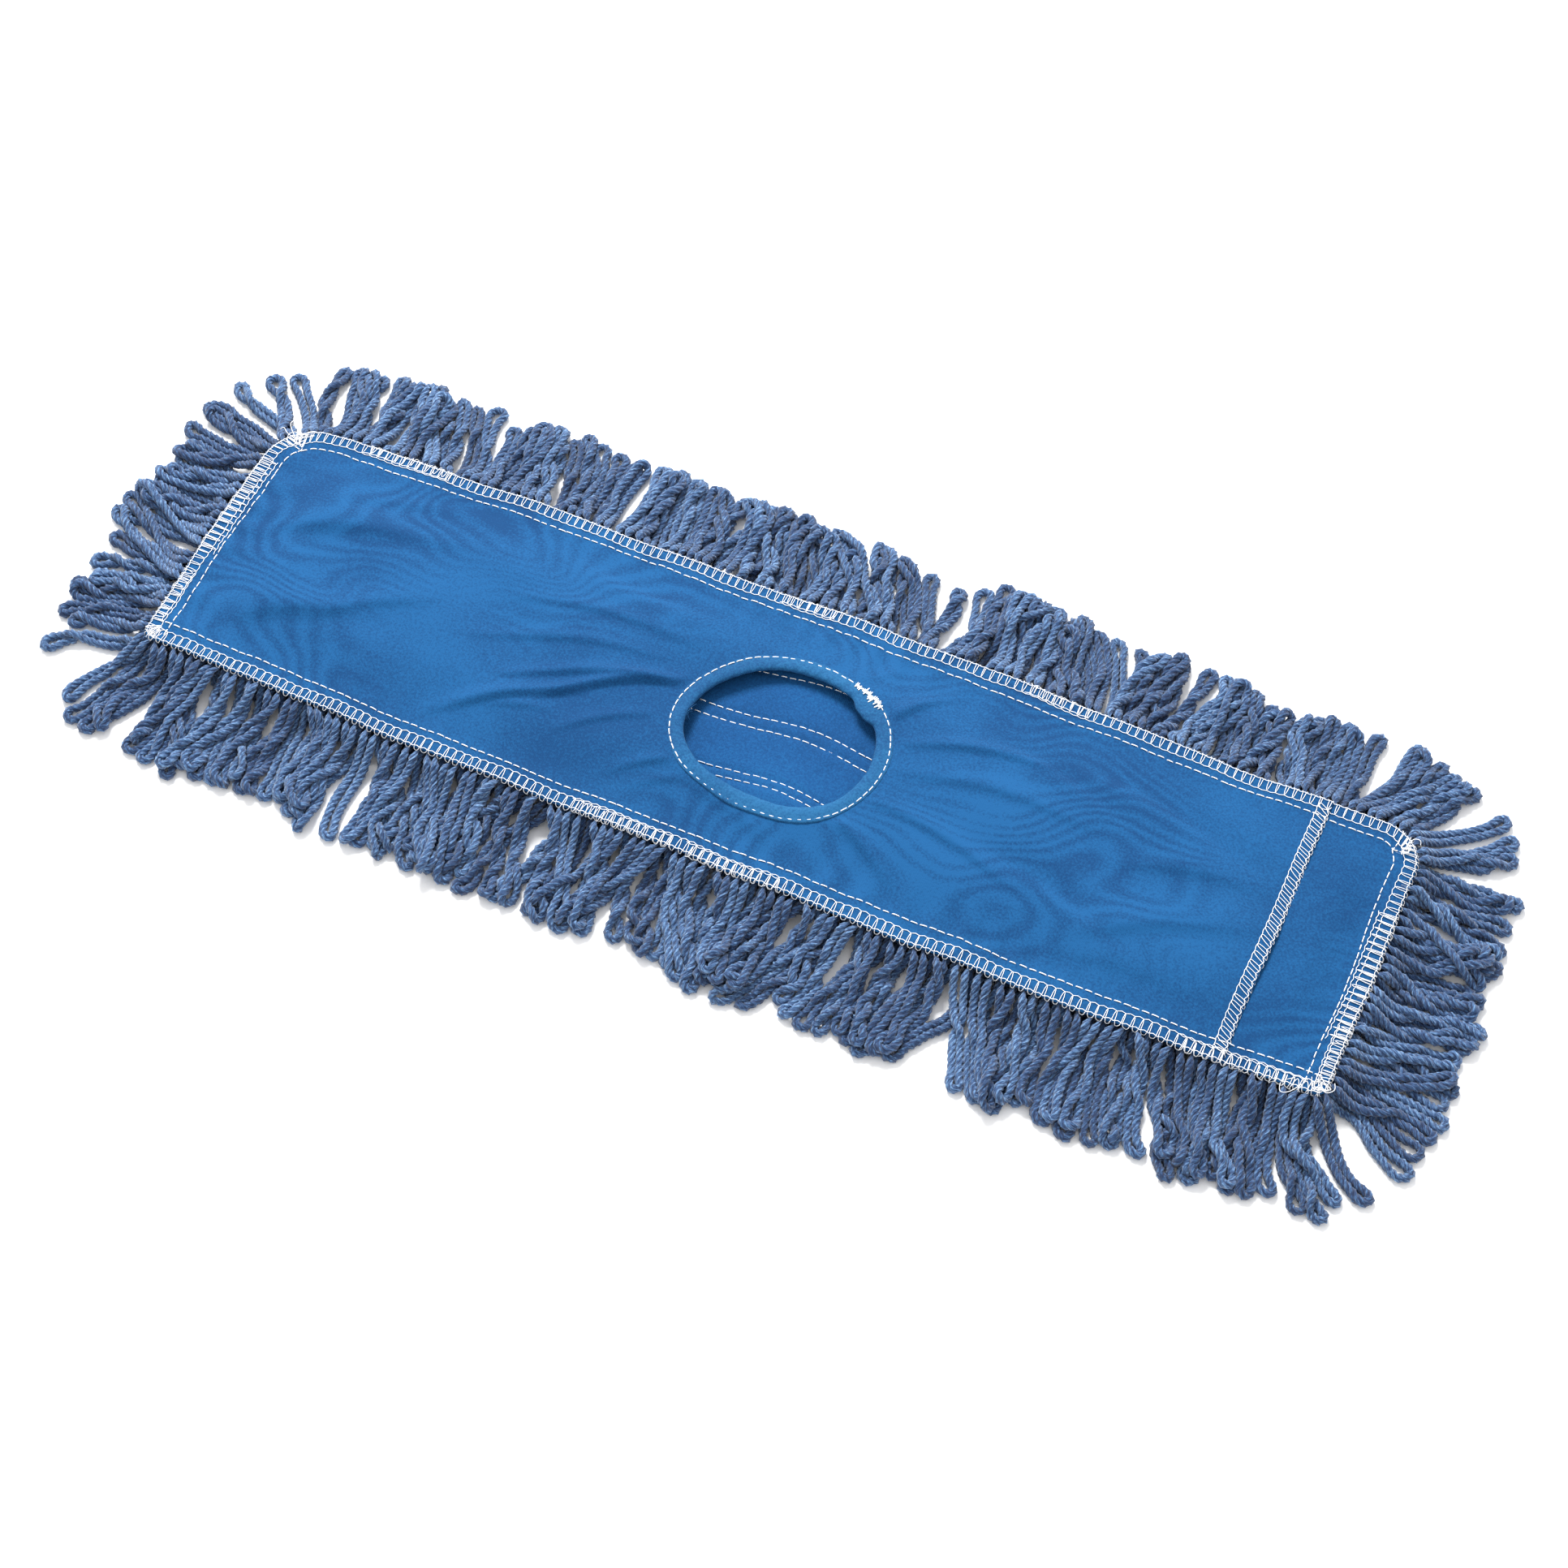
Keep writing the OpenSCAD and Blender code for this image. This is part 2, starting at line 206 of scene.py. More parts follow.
# Spun polyester sewing thread, bleached white: a slight sheen, with a fine twist
def polyesterThread(name):
    material, tree, shader = newMaterial(name, 0.45, sheen=0.1)
    along = addNode(tree, "ShaderNodeUVMap", uv_map="UVMap")
    # The real twist is 0.3 mm, too fine to show, so it only makes the white a little uneven
    twist = addNode(tree, "ShaderNodeTexWave", {"Vector": along.outputs["UV"], "Scale": 390.0, "Distortion": 0.5},
                    wave_type="BANDS", bands_direction="DIAGONAL")
    ramp = colourRamp(tree, twist.outputs["Fac"], [(0.0, "#f0f3f7"), (1.0, "#ffffff")])
    tree.links.new(ramp.outputs["Color"], shader.inputs["Base Color"])
    bump = addNode(tree, "ShaderNodeBump", {"Height": twist.outputs["Fac"], "Strength": 0.4, "Distance": 0.0001})
    tree.links.new(bump.outputs["Normal"], shader.inputs["Normal"])
    return material


def paleFloor():
    material, tree, shader = newMaterial("matt backdrop paper", 0.9)
    place = addNode(tree, "ShaderNodeTexCoord")
    grain = addNode(tree, "ShaderNodeTexNoise", {"Vector": place.outputs["Object"], "Scale": 40.0})
    ramp = colourRamp(tree, grain.outputs["Fac"], [(0.0, light["floor"]), (1.0, "#fdfdfd")])
    tree.links.new(ramp.outputs["Color"], shader.inputs["Base Color"])
    bpy.ops.mesh.primitive_plane_add(size=8)
    floor = bpy.context.object
    floor.name = "floor"
    floor.data.materials.append(material)


coverCloth = twillCloth("blue poly cotton drill", "#145285", "#0f4878", "#093c6a", bands=0.065)
liningCloth = twillCloth("blue poly cotton drill, base", "#135286", "#0f487c", "#0a3f6f")
tapeCloth = twillCloth("blue bias tape", "#235f8c", "#1b5380", "#154673")
yarn = pliedYarn("heathered plied yarn")
thread = polyesterThread("white polyester thread")
paleFloor()
print("camera, light and materials made")


# Mesh tools
def smooth(t):
    t = np.clip(t, 0, 1)
    return t * t * (3 - 2 * t)


def unit(v):
    return v / np.maximum(np.linalg.norm(v, axis=-1, keepdims=True), 1e-12)


# Distance along each path from its start to each of its points
def runAlong(paths):
    step = np.linalg.norm(np.diff(paths, axis=-2), axis=-1)
    return np.concatenate([np.zeros(step.shape[:-1] + (1,)), np.cumsum(step, axis=-1)], axis=-1)


def addObject(name, mesh):
    obj = bpy.data.objects.new(name, mesh)
    bpy.context.scene.collection.objects.link(obj)
    return obj


# Sweeps a round or lobed tube along each of many paths that have the same number of points
def sweepTubes(name, paths, radius, sides, lobes=0, lobeDepth=0.0, twist=0.0, strand=None):
    count, rings = paths.shape[:2]
    tangent = unit(np.gradient(paths, axis=1))
    normal = np.zeros_like(paths)
    # Any direction that no path starts along serves to lay out the first ring
    normal[:, 0] = unit(np.cross(tangent[:, 0], np.array([0.31, 0.17, 0.94])))
    for i in range(1, rings):
        carried = normal[:, i - 1]
        carried = carried - (carried * tangent[:, i]).sum(-1, keepdims=True) * tangent[:, i]
        normal[:, i] = unit(carried)
    side = np.cross(tangent, normal)
    run = runAlong(paths)
    angle = np.arange(sides) * 2 * math.pi / sides
    turned = angle[None, None, :] + (2 * math.pi * run / twist if twist else 0 * run)[:, :, None]
    lobe = np.cos(lobes * angle) if lobes else np.zeros(sides)
    reach = np.broadcast_to(np.asarray(radius), (count, rings))[:, :, None] * (1 + lobeDepth * lobe)
    ring = normal[:, :, None] * np.cos(turned)[..., None] + side[:, :, None] * np.sin(turned)[..., None]
    points = paths[:, :, None] + ring * reach[..., None]
    start = np.arange(count)[:, None, None] * rings * sides
    row = start + np.arange(rings - 1)[None, :, None] * sides
    this = row + np.arange(sides)[None, None, :]
    following = row + (np.arange(sides)[None, None, :] + 1) % sides
    quads = np.stack([this, following, following + sides, this + sides], axis=-1).reshape(-1, 4)
    column = np.broadcast_to(np.arange(sides) / sides, (count, rings - 1, sides))
    lowU = np.broadcast_to(run[:, :-1, None], column.shape)
    highU = np.broadcast_to(run[:, 1:, None], column.shape)
    near, far = column, column + 1 / sides
    uv = np.stack([lowU, near, lowU, far, highU, far, highU, near], axis=-1).reshape(-1, 2)
    caps = np.concatenate([
        (start[:, 0] + np.arange(sides)[::-1]).reshape(-1),
        (start[:, 0] + (rings - 1) * sides + np.arange(sides)).reshape(-1)])
    mesh = bpy.data.meshes.new(name)
    mesh.vertices.add(count * rings * sides)
    mesh.vertices.foreach_set("co", points.astype(np.float32).ravel())
    corners = np.concatenate([quads.ravel(), caps]).astype(np.int32)
    sizes = np.concatenate([np.full(len(quads), 4), np.full(2 * count, sides)])
    mesh.loops.add(len(corners))
    mesh.loops.foreach_set("vertex_index", corners)
    mesh.polygons.add(len(sizes))
    mesh.polygons.foreach_set("loop_start", np.concatenate([[0], np.cumsum(sizes)[:-1]]).astype(np.int32))
    mesh.polygons.foreach_set("use_smooth", np.ones(len(sizes), bool))
    layer = mesh.uv_layers.new(name="UVMap")
    layer.data.foreach_set("uv", np.concatenate([uv, np.zeros((len(caps), 2))]).astype(np.float32).ravel())
    if strand is not None:
        tint = mesh.attributes.new("strand", "FLOAT", "POINT")
        tint.data.foreach_set("value", np.repeat(strand, rings * sides).astype(np.float32))
        # How deep each point lies between the plies, which the yarn's painted groove shade darkens
        plyGrooveShade = mesh.attributes.new("plyGrooveShade", "FLOAT", "POINT")
        depth = np.broadcast_to((1 - lobe) / 2 if lobes else lobe, (count, rings, sides))
        plyGrooveShade.data.foreach_set("value", depth.astype(np.float32).ravel())
    mesh.update(calc_edges=True)
    return addObject(name, mesh)


# Points at equal distances along each path, on smooth curves through its own points
def respace(paths, count):
    run = runAlong(paths)
    result = np.empty((len(paths), count, 3))
    for k in range(len(paths)):
        wanted = np.linspace(0, run[k, -1], count)
        spot = np.clip(np.searchsorted(run[k], wanted, side="right") - 1, 0, paths.shape[1] - 2)
        t = ((wanted - run[k][spot]) / np.maximum(run[k][spot + 1] - run[k][spot], 1e-9))[:, None]
        p = paths[k]
        before, after = p[np.maximum(spot - 1, 0)], p[np.minimum(spot + 2, len(p) - 1)]
        a, b = p[spot], p[spot + 1]
        result[k] = 0.5 * (2 * a + (b - before) * t + (2 * before - 5 * a + 4 * b - after) * t ** 2
                           + (3 * a - before - 3 * b + after) * t ** 3)
    return result


def joined(name, parts):
    bpy.ops.object.select_all(action="DESELECT")
    for part in parts:
        part.select_set(True)
    bpy.context.view_layer.objects.active = parts[0]
    bpy.ops.object.join()
    parts[0].name = name
    parts[0].select_set(False)
    return parts[0]


# The sewn outline in millimetres: its long edges bow and its corners are rounded by different amounts, as hand-guided
# sewing leaves them
outline = {
    "radius": {(-1, 1): 32, (1, 1): 23, (-1, -1): 7, (1, -1): 5}, "wave": 0.5,
    "back": [(-318, 76), (-264, 76.8), (-200, 79.8), (-150, 81), (-100, 80.2), (-50, 80.2), (0, 81.8), (50, 81.6),
             (100, 80.8), (150, 79.8), (200, 77.4), (250, 77.2), (290, 78.8), (318, 79)],
    "front": [(-318, 78), (-250, 77.6), (-200, 80), (-100, 80.4), (0, 80.5), (100, 81.6), (200, 81.6), (250, 79.8),
              (318, 76.4)]}


def edgeShare(x, side):
    marks = np.array(outline[side]) * mm
    wave = outline["wave"] * mm * (np.sin(x * 73 + 1) + 0.6 * np.sin(x * 131))
    return (sum(np.interp(x + shift, marks[:, 0], marks[:, 1]) for shift in (-0.02, 0, 0.02)) / 3 + wave) / halfWidth


def sewnPlan(x, y):
    x, y = np.array(x, float), np.array(y, float)
    newX, newY = x.copy(), y.copy()
    for (sideX, sideY), radius in outline["radius"].items():
        cornerX, cornerY = sideX * (halfLength - radius * mm), sideY * (halfWidth - radius * mm)
        u, v = (x - cornerX) * sideX, (y - cornerY) * sideY
        inside = (u > 0) & (v > 0)
        scale = np.maximum(u, v) / np.maximum(np.hypot(u, v), 1e-9)
        newX = np.where(inside, cornerX + sideX * u * scale, newX)
        newY = np.where(inside, cornerY + sideY * v * scale, newY)
    newX = newX + outline["wave"] * mm * np.sin(y * 61 + 2) * newX / halfLength
    return newX, newY * np.where(y > 0, edgeShare(newX, "back"), edgeShare(newX, "front"))


# How the cloth lies: a soft crown over the pocket, folds, and puckers along the seams
drape = {
    "margin": 0.0125, "rise": 0.038, "hemDrop": 0.45, "hemRun": 0.09, "endCrown": 0.0026, "endRise": 0.6,
    "endPucker": 0.4,
    "pucker": 0.0004, "puckerIn": 0.012, "puckerRun": 0.016, "wrinkle": 0.0011, "steep": 0.4, "bow": 0.05, "tail": 0.35,
    "holeFade": 0.006,
    # Each fold: its two ends, its width and its height, all in millimetres; the side to its right is the steep one
    "folds": [
        (-176, -72, -98, -19, 5, 3.7), (-114, -29, -52, 8, 4.4, 3.6), (-136, -25, -50, 6, 4.5, 2.8),
        (-138, -46, -108, -36, 3, 1.3), (-66, -56, -34, -35, 3.5, 1.9), (-54, -60, -28, -44, 3, 1.5),
        (-98, -44, -60, -18, 4, 1.6), (-150, 20, -60, 30, 5, 1.4), (-160, -10, -70, 16, 5, 1.5),
        (-60, 46, -160, 62, 8, 2.0), (-24, -48, 14, -77, 9, -3.0), (4, -50, 40, -76, 6, 2.4),
        (48, -34, 98, -66, 6, 3.6),
        (60, -18, 140, -34, 6, 2.2), (50, 28, 76, 58, 6, 3.0), (66, 20, 134, 36, 5, 2.4), (30, 48, 62, 70, 6, 2.2),
        (70, 4, 160, 12, 7, 1.8), (110, 42, 180, 22, 8, -1.9), (120, -20, 200, -42, 9, -1.8),
        (-300, 4, -205, 34, 14, 3.4), (-285, -52, -220, -22, 12, 2.8), (-256, 42, -180, 60, 10, 2.4),
        (-240, -32, -196, -4, 9, 2.2), (180, -44, 252, -10, 12, 2.6), (150, 46, 240, 26, 11, -2.2),
        (190, 2, 250, 14, 10, 1.9), (150, -64, 240, -52, 8, 1.8)]}


def foldHeight(x, y):
    total = np.zeros_like(x)
    for x0, y0, x1, y1, width, height in np.array(drape["folds"]) * mm:
        dx, dy = x1 - x0, y1 - y0
        t = ((x - x0) * dx + (y - y0) * dy) / (dx * dx + dy * dy)
        near = np.clip(t, 0, 1)
        swell = np.sin(math.pi * near)
        across = ((y - y0) * dx - (x - x0) * dy) / math.hypot(dx, dy) - drape["bow"] * swell * math.hypot(dx, dy)
        beyond = (t - near) * math.hypot(dx, dy)
        narrow = width * np.where(across < 0, drape["steep"], 1.0)
        ridge = np.exp(-(across / narrow) ** 2 - (beyond / width) ** 2)
        total += height * ridge * (drape["tail"] + (1 - drape["tail"]) * swell)
    return total * smooth(outsideHole(x, y) / drape["holeFade"])


def seamPucker(x, y):
    toSide, toEnd = halfWidth - np.abs(y), halfLength - np.abs(x)
    phase = np.where(y > 0, 1.3, 0.0)
    sideRipple = np.sin(x * 410 + phase + 2.2 * np.sin(x * 37)) * (0.6 + 0.4 * np.sin(x * 19 + phase))
    endRipple = np.sin(y * 380 + 1.1 * np.sin(y * 60))
    sideFade = np.exp(-((toSide - drape["puckerIn"]) / drape["puckerRun"]) ** 2)
    endFade = np.exp(-((toEnd - drape["puckerIn"]) / drape["puckerRun"]) ** 2)
    return drape["pucker"] * (sideRipple * sideFade + endRipple * endFade)


# How far the cloth has risen a given distance inside a seam, from 0 at the margin to 1
def risen(inwards, run=1.0):
    return smooth((inwards - drape["margin"]) / (run * drape["rise"]))


def coverHeight(x, y):
    x, y = np.asarray(x, float), np.asarray(y, float)
    rise = risen(halfWidth - np.abs(y)) * risen(halfLength + x)
    lowered = 1 - drape["hemDrop"] * smooth((x - hemX + drape["hemRun"]) / drape["hemRun"])
    soft = drape["wrinkle"] * (np.sin(x * 57 + 2 * np.sin(y * 31)) * np.sin(y * 49 + 1.7)
                               + 0.5 * np.sin(x * 23 - y * 61))
    return rimTop + crown * rise * lowered + (foldHeight(x, y) + soft) * rise + seamPucker(x, y)


def endHeight(x, y):
    x, y = np.asarray(x, float), np.asarray(y, float)
    rise = risen(halfWidth - np.abs(y)) * risen(halfLength - x, drape["endRise"])
    return endRimTop + drape["endCrown"] * rise + drape["endPucker"] * seamPucker(x, y)


def topHeight(x, y):
    return np.where(np.asarray(x) > hemX, endHeight(x, y), coverHeight(x, y))


# Row places, with the wander that a sewing line has, and how the base cloth lies between them
rows = {"arch": 0.0065, "archAt": 0.017, "archRun": 0.032, "sag": -0.0022, "sagRun": 0.13, "wander": 0.0004,
        "drift": [0, 0, 0.0007, -0.0007, -0.0005, 0.0002, -0.0002, -0.0002], "threadHalf": 0.0004,
        "wave": 0.0003, "furrow": 0.0007, "furrowRun": 0.0016,
        # Each crease: its height, x where it crosses y = 0, slant, width, then y of its middle and its length
        "creases": [(0.0007, -0.022, -0.3, 0.004, -0.012, 0.016), (0.0006, 0.03, 0.5, 0.006, 0.012, 0.02)]}
rowLines = []
for i in range(4):
    low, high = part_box("row_stitch_%d" % (i + 1))
    rowLines += [low.y + rows["threadHalf"], high.y - rows["threadHalf"]]


def rowY(i, x):
    arch = rows["arch"] * np.exp(-((x - rows["archAt"]) / rows["archRun"]) ** 2)
    sag = (rows["sag"] + rows["drift"][i]) * np.exp(-(x / rows["sagRun"]) ** 2)
    return rowLines[i] + arch + sag + rows["wander"] * np.sin(x * 41 + i)


def baseHeight(x, y):
    x, y = np.asarray(x, float), np.asarray(y, float)
    height = np.full_like(x, baseHigh.z) + rows["wave"] * np.sin(x * 83 + 3 * np.sin(y * 40)) * np.sin(y * 71)
    for tall, startX, slant, width, middleY, length in rows["creases"]:
        height += tall * np.exp(-((x - startX - slant * y) / width) ** 2 - ((y - middleY) / length) ** 2)
    for i in range(8):
        height -= rows["furrow"] * np.exp(-((y - rowY(i, x)) / rows["furrowRun"]) ** 2)
    return height


# Handle hole: the tape's outer edge from the hole's middle, in millimetres, sewn by hand and so not a true oval
tape = {
    "edge": [(-56.7, -3.9), (-52.5, 13.1), (-41.9, 27.2), (-23.4, 41.1), (-1.2, 46.8), (20.2, 44), (39.1, 36.5),
             (50.4, 24.6), (56.8, 3.8), (54.2, -18.2), (44, -34.7), (28.4, -43.8), (5.8, -46.9), (-19.8, -44.1),
             (-41.5, -35.7), (-52.8, -22.4)],
    "shift": (0.0002, -0.0004), "width": 0.0086, "stitchIn": 0.0014, "stitchUp": 0.0006, "dash": 0.0046,
    # Places round the hole in degrees, from +X towards +Y
    "joinAt": 190, "bulgeAt": 43, "bulgeSpan": 10, "bulge": 0.0032, "tackFrom": 39, "tackTo": 61, "frayAt": 189,
    "section": [(4.3, -0.9), (4.4, -0.2), (4.2, 0.35), (3.6, 0.6), (2.9, 0.66), (2.2, 0.8), (1.0, 1.1), (-0.6, 1.3),
                (-2.2, 1.25), (-3.4, 0.9), (-4.2, 0.3), (-4.5, -0.5), (-4.2, -1.2), (-3.2, -1.7), (-1.2, -1.8),
                (1.4, -1.6), (3.2, -1.3)],
    "dimple": 0.00012, "crease": 0.00016, "lap": 0.00045, "lapRun": 0.012, "lapSlant": 0.7,
    "fray": {"threads": 26, "radius": 0.00014, "spread": 0.0022, "stray": 0.0034, "in": (0.0004, 0.0032), "up": 0.0006,
             "down": 0.0026}}


def angleGap(degrees, centre):
    return (degrees - centre + 180) % 360 - 180


def holeDegrees(line):
    return np.degrees(np.arctan2(line[:, 1] - holeY, line[:, 0] - holeX))


def holeReach(angle):
    corners = np.array(tape["edge"]) * mm
    turn = np.arctan2(corners[:, 1], corners[:, 0]) % (2 * math.pi)
    order = np.argsort(turn)
    grid = np.radians(np.arange(360))
    rough = np.interp(grid, turn[order], np.hypot(corners[:, 0], corners[:, 1])[order], period=2 * math.pi)
    weight = np.exp(-(np.arange(-24, 25) / 9) ** 2)
    even = np.convolve(np.concatenate([rough[-24:], rough, rough[:24]]), weight / weight.sum(), mode="valid")
    return np.interp(angle, grid, even, period=2 * math.pi)


# Points at equal distances round the hole, a given distance inside the tape's outer edge, with outward directions
def holeLine(inset, count):
    angle = np.linspace(0, 2 * math.pi, 1441)
    reach = holeReach(angle)
    x = holeX + tape["shift"][0] + reach * np.cos(angle)
    y = holeY + tape["shift"][1] + reach * np.sin(angle)
    out = unit(np.column_stack([np.gradient(y), -np.gradient(x)]))
    x, y = x - out[:, 0] * inset, y - out[:, 1] * inset
    run = np.concatenate([[0], np.cumsum(np.hypot(np.diff(x), np.diff(y)))])
    at = np.arange(count) * run[-1] / count
    line = np.column_stack([np.interp(at, run, x), np.interp(at, run, y)])
    outward = unit(np.column_stack([np.interp(at, run, out[:, 0]), np.interp(at, run, out[:, 1])]))
    return line, outward


def outsideHole(x, y):
    dx, dy = x - holeX - tape["shift"][0], y - holeY - tape["shift"][1]
    return np.hypot(dx, dy) - holeReach(np.arctan2(dy, dx))


# Cloth panels: a grid laid to the sewn outline, raised to the height of its cloth, then given its thickness
cloth = {"cell": 0.0015, "thickness": 0.0007, "baseEdge": 0.0012, "flatCover": (0.162, 0.586),
         "flatEnd": (0.162, 0.070),
         "flatBase": (0.162, 0.636)}


def clothPanel(name, lowX, highX, height, trim=0.0):
    across = int(2 * halfWidth / cloth["cell"])
    along = int((highX - lowX) / cloth["cell"])
    bpy.ops.mesh.primitive_grid_add(x_subdivisions=along, y_subdivisions=across, size=1,
                                    location=((lowX + highX) / 2, 0, 0))
    obj = bpy.context.object
    obj.name = name
    obj.scale = (highX - lowX, 2 * halfWidth, 1)
    bpy.ops.object.transform_apply(location=True, rotation=False, scale=True)
    place = np.empty(len(obj.data.vertices) * 3, np.float32)
    obj.data.vertices.foreach_get("co", place)
    place = place.reshape(-1, 3).astype(float)
    x, y = sewnPlan(place[:, 0] * (1 - trim / halfLength), place[:, 1] * (1 - trim / halfWidth))
    place = np.stack([x, y, height(x, y)], axis=1)
    obj.data.vertices.foreach_set("co", place.astype(np.float32).ravel())
    obj.data.update()
    return obj


def giveThickness(obj):
    wall = obj.modifiers.new("wall", "SOLIDIFY")
    wall.thickness = cloth["thickness"]
    wall.offset = -1
    bpy.context.view_layer.objects.active = obj
    bpy.ops.object.modifier_apply(modifier="wall")
    obj.data.polygons.foreach_set("use_smooth", np.ones(len(obj.data.polygons), bool))
    obj.select_set(False)


def cutHandleHole(obj):
    bpy.context.view_layer.objects.active = obj
    centres = np.empty(len(obj.data.polygons) * 3, np.float32)
    obj.data.polygons.foreach_get("center", centres)
    centres = centres.reshape(-1, 3)
    bpy.ops.object.mode_set(mode="EDIT")
    bpy.ops.mesh.select_all(action="DESELECT")
    bpy.ops.object.mode_set(mode="OBJECT")
    obj.data.polygons.foreach_set("select", outsideHole(centres[:, 0], centres[:, 1]) < -tape["width"] / 2)
    bpy.ops.object.mode_set(mode="EDIT")
    bpy.ops.mesh.select_mode(type="FACE")
    bpy.ops.mesh.delete(type="FACE")
    bpy.ops.object.mode_set(mode="OBJECT")


cover = clothPanel("coverCloth", -halfLength, hemX, coverHeight)
cutHandleHole(cover)
giveThickness(cover)
endPanel = clothPanel("endPanelCloth", lapX, halfLength, endHeight)
giveThickness(endPanel)
base = clothPanel("baseCloth", -halfLength, halfLength, baseHeight, trim=cloth["baseEdge"])
giveThickness(base)
print("cloths cut and laid")


# Folded tape round the handle hole, rolled over the raw edge, with its join at the left
def makeBinding():
    count = 360
    line, outward = holeLine(tape["width"] / 2, count)
    section = np.array(tape["section"]) * mm
    run = runAlong(line)
    degrees = holeDegrees(line)
    n, z = section[:, 0][None, :], section[:, 1][None, :]
    stretch = 1 + 0.05 * np.sin(run * 61)[:, None] + 0.04 * np.sin(run * 173 + 1)[:, None]
    bulge = tape["bulge"] * np.exp(-(angleGap(degrees, tape["bulgeAt"]) / tape["bulgeSpan"]) ** 4)[:, None]
    lean = n * stretch - bulge * smooth(0.5 - n / tape["width"])
    outerSide = smooth((n + 0.001) / 0.004)
    upper = smooth((z + 0.0006) / 0.0008)
    dimple = tape["dimple"] * np.cos(2 * math.pi * run / tape["dash"])[:, None] * outerSide * upper
    crease = tape["crease"] * np.sin(run[:, None] * 900 + n * 700 + 2 * np.sin(run * 70)[:, None]) * (1 - outerSide)
    # One end of the tape laps over the other with a slanting fold, 52 mm from the hole's middle
    past = (angleGap(degrees, tape["joinAt"])[:, None] * math.radians(1) * 0.052 - tape["lapSlant"] * n)
    lap = tape["lap"] * smooth(past / 0.0006 + 0.5) * smooth((tape["lapRun"] - past) / 0.008) * upper
    top = coverHeight(line[:, 0], line[:, 1])[:, None] - 0.0003
    height = top + z * (1 + 0.08 * np.sin(run * 97)[:, None]) + dimple + crease + lap
    x = line[:, 0][:, None] + outward[:, 0][:, None] * lean
    y = line[:, 1][:, None] + outward[:, 1][:, None] * lean
    points = np.stack([x, y, height], axis=-1)
    sides = len(section)
    i, j = np.meshgrid(np.arange(count), np.arange(sides), indexing="ij")
    ahead, beside = (i + 1) % count, (j + 1) % sides
    quads = np.stack([i * sides + j, ahead * sides + j, ahead * sides + beside, i * sides + beside], axis=-1)
    mesh = bpy.data.meshes.new("holeBindingTape")
    mesh.from_pydata(points.reshape(-1, 3).tolist(), [], quads.reshape(-1, 4).tolist())
    obj = addObject("holeBindingTape", mesh)
    bpy.context.view_layer.objects.active = obj
    obj.select_set(True)
    bpy.ops.object.mode_set(mode="EDIT")
    bpy.ops.mesh.select_all(action="SELECT")
    bpy.ops.mesh.normals_make_consistent(inside=False)
    bpy.ops.object.mode_set(mode="OBJECT")
    mesh.polygons.foreach_set("use_smooth", np.ones(len(mesh.polygons), bool))
    obj.select_set(False)
    return obj


binding = makeBinding()


# A tuft of frayed threads where the tape's end shows at the left of the hole
def frayedEnd():
    fray = tape["fray"]
    line, outward = holeLine(tape["width"] * 0.9, 360)
    nearest = int(np.argmin(np.abs(angleGap(holeDegrees(line), tape["frayAt"]))))
    at, out = line[nearest], outward[nearest]
    along = np.array([-out[1], out[0]])
    paths = []
    for k in range(fray["threads"]):
        start = at + along * rng.normal(0, fray["spread"])
        stray = at - out * rng.uniform(*fray["in"]) + along * rng.normal(0, fray["stray"])
        z = float(coverHeight(start[0], start[1]))
        middle = (start + stray) / 2
        highest = z + rng.normal(fray["up"], fray["up"])
        paths.append([[*start, z], [*middle, highest], [*stray, z - rng.uniform(0.0, fray["down"])]])
    return sweepTubes("frayedEnd", respace(np.array(paths), 6), fray["radius"], 4)


binding = joined("holeBindingTape", [binding, frayedEnd()])
print("handle hole bound")


# Lockstitch: short dashes of thread that dip into the cloth at both ends
stitch = {"pitch": 0.00475, "gap": 0.0013, "radius": 0.0003, "proud": 0.0003, "lineIn": 0.0112, "uneven": 0.00018,
          "endGap": 0.00392, "sideGap": 0.003, "rowGap": 0.012, "rowSunk": 0.0004}


def dashes(name, line, pitch=stitch["pitch"], sides=5):
    run = runAlong(line)
    count = int(run[-1] / pitch)
    pitch = run[-1] / count
    starts = np.arange(count) * pitch + rng.normal(0, stitch["uneven"], count)
    share = np.array([0.0, 0.1, 0.5, 0.9, 1.0])
    dip = np.array([-1.4, 0.0, 0.3, 0.0, -1.4]) * stitch["radius"]
    length = (pitch - stitch["gap"]) * (1 + rng.normal(0, 0.05, count))
    at = starts[:, None] + length[:, None] * share
    paths = np.stack([np.interp(at, run, line[:, k]) for k in range(3)], axis=-1)
    paths[..., 2] += dip
    paths[..., :2] += rng.normal(0, 0.00010, (count, 1, 2))
    return sweepTubes(name, paths, stitch["radius"], sides)


# Places along a side: s runs along the seam and inwards is the distance from the sewn edge
def seamPlan(side, s, inwards):
    s, inwards = np.broadcast_arrays(np.asarray(s, float), np.asarray(inwards, float))
    if side == "front":
        return sewnPlan(s, -halfWidth + inwards)
    if side == "back":
        return sewnPlan(s, halfWidth - inwards)
    if side == "left":
        return sewnPlan(-halfLength + inwards, s)
    return sewnPlan(halfLength - inwards, s)


def seamLine(side, start, stop):
    s = np.linspace(start, stop, 500)
    wander = 0.0006 * np.sin(s * 17 + 3 * stitch["lineIn"]) + 0.0003 * np.sin(s * 71)
    x, y = seamPlan(side, s, stitch["lineIn"] + wander)
    return np.stack([x, y, topHeight(x, y) + stitch["proud"]], axis=1)


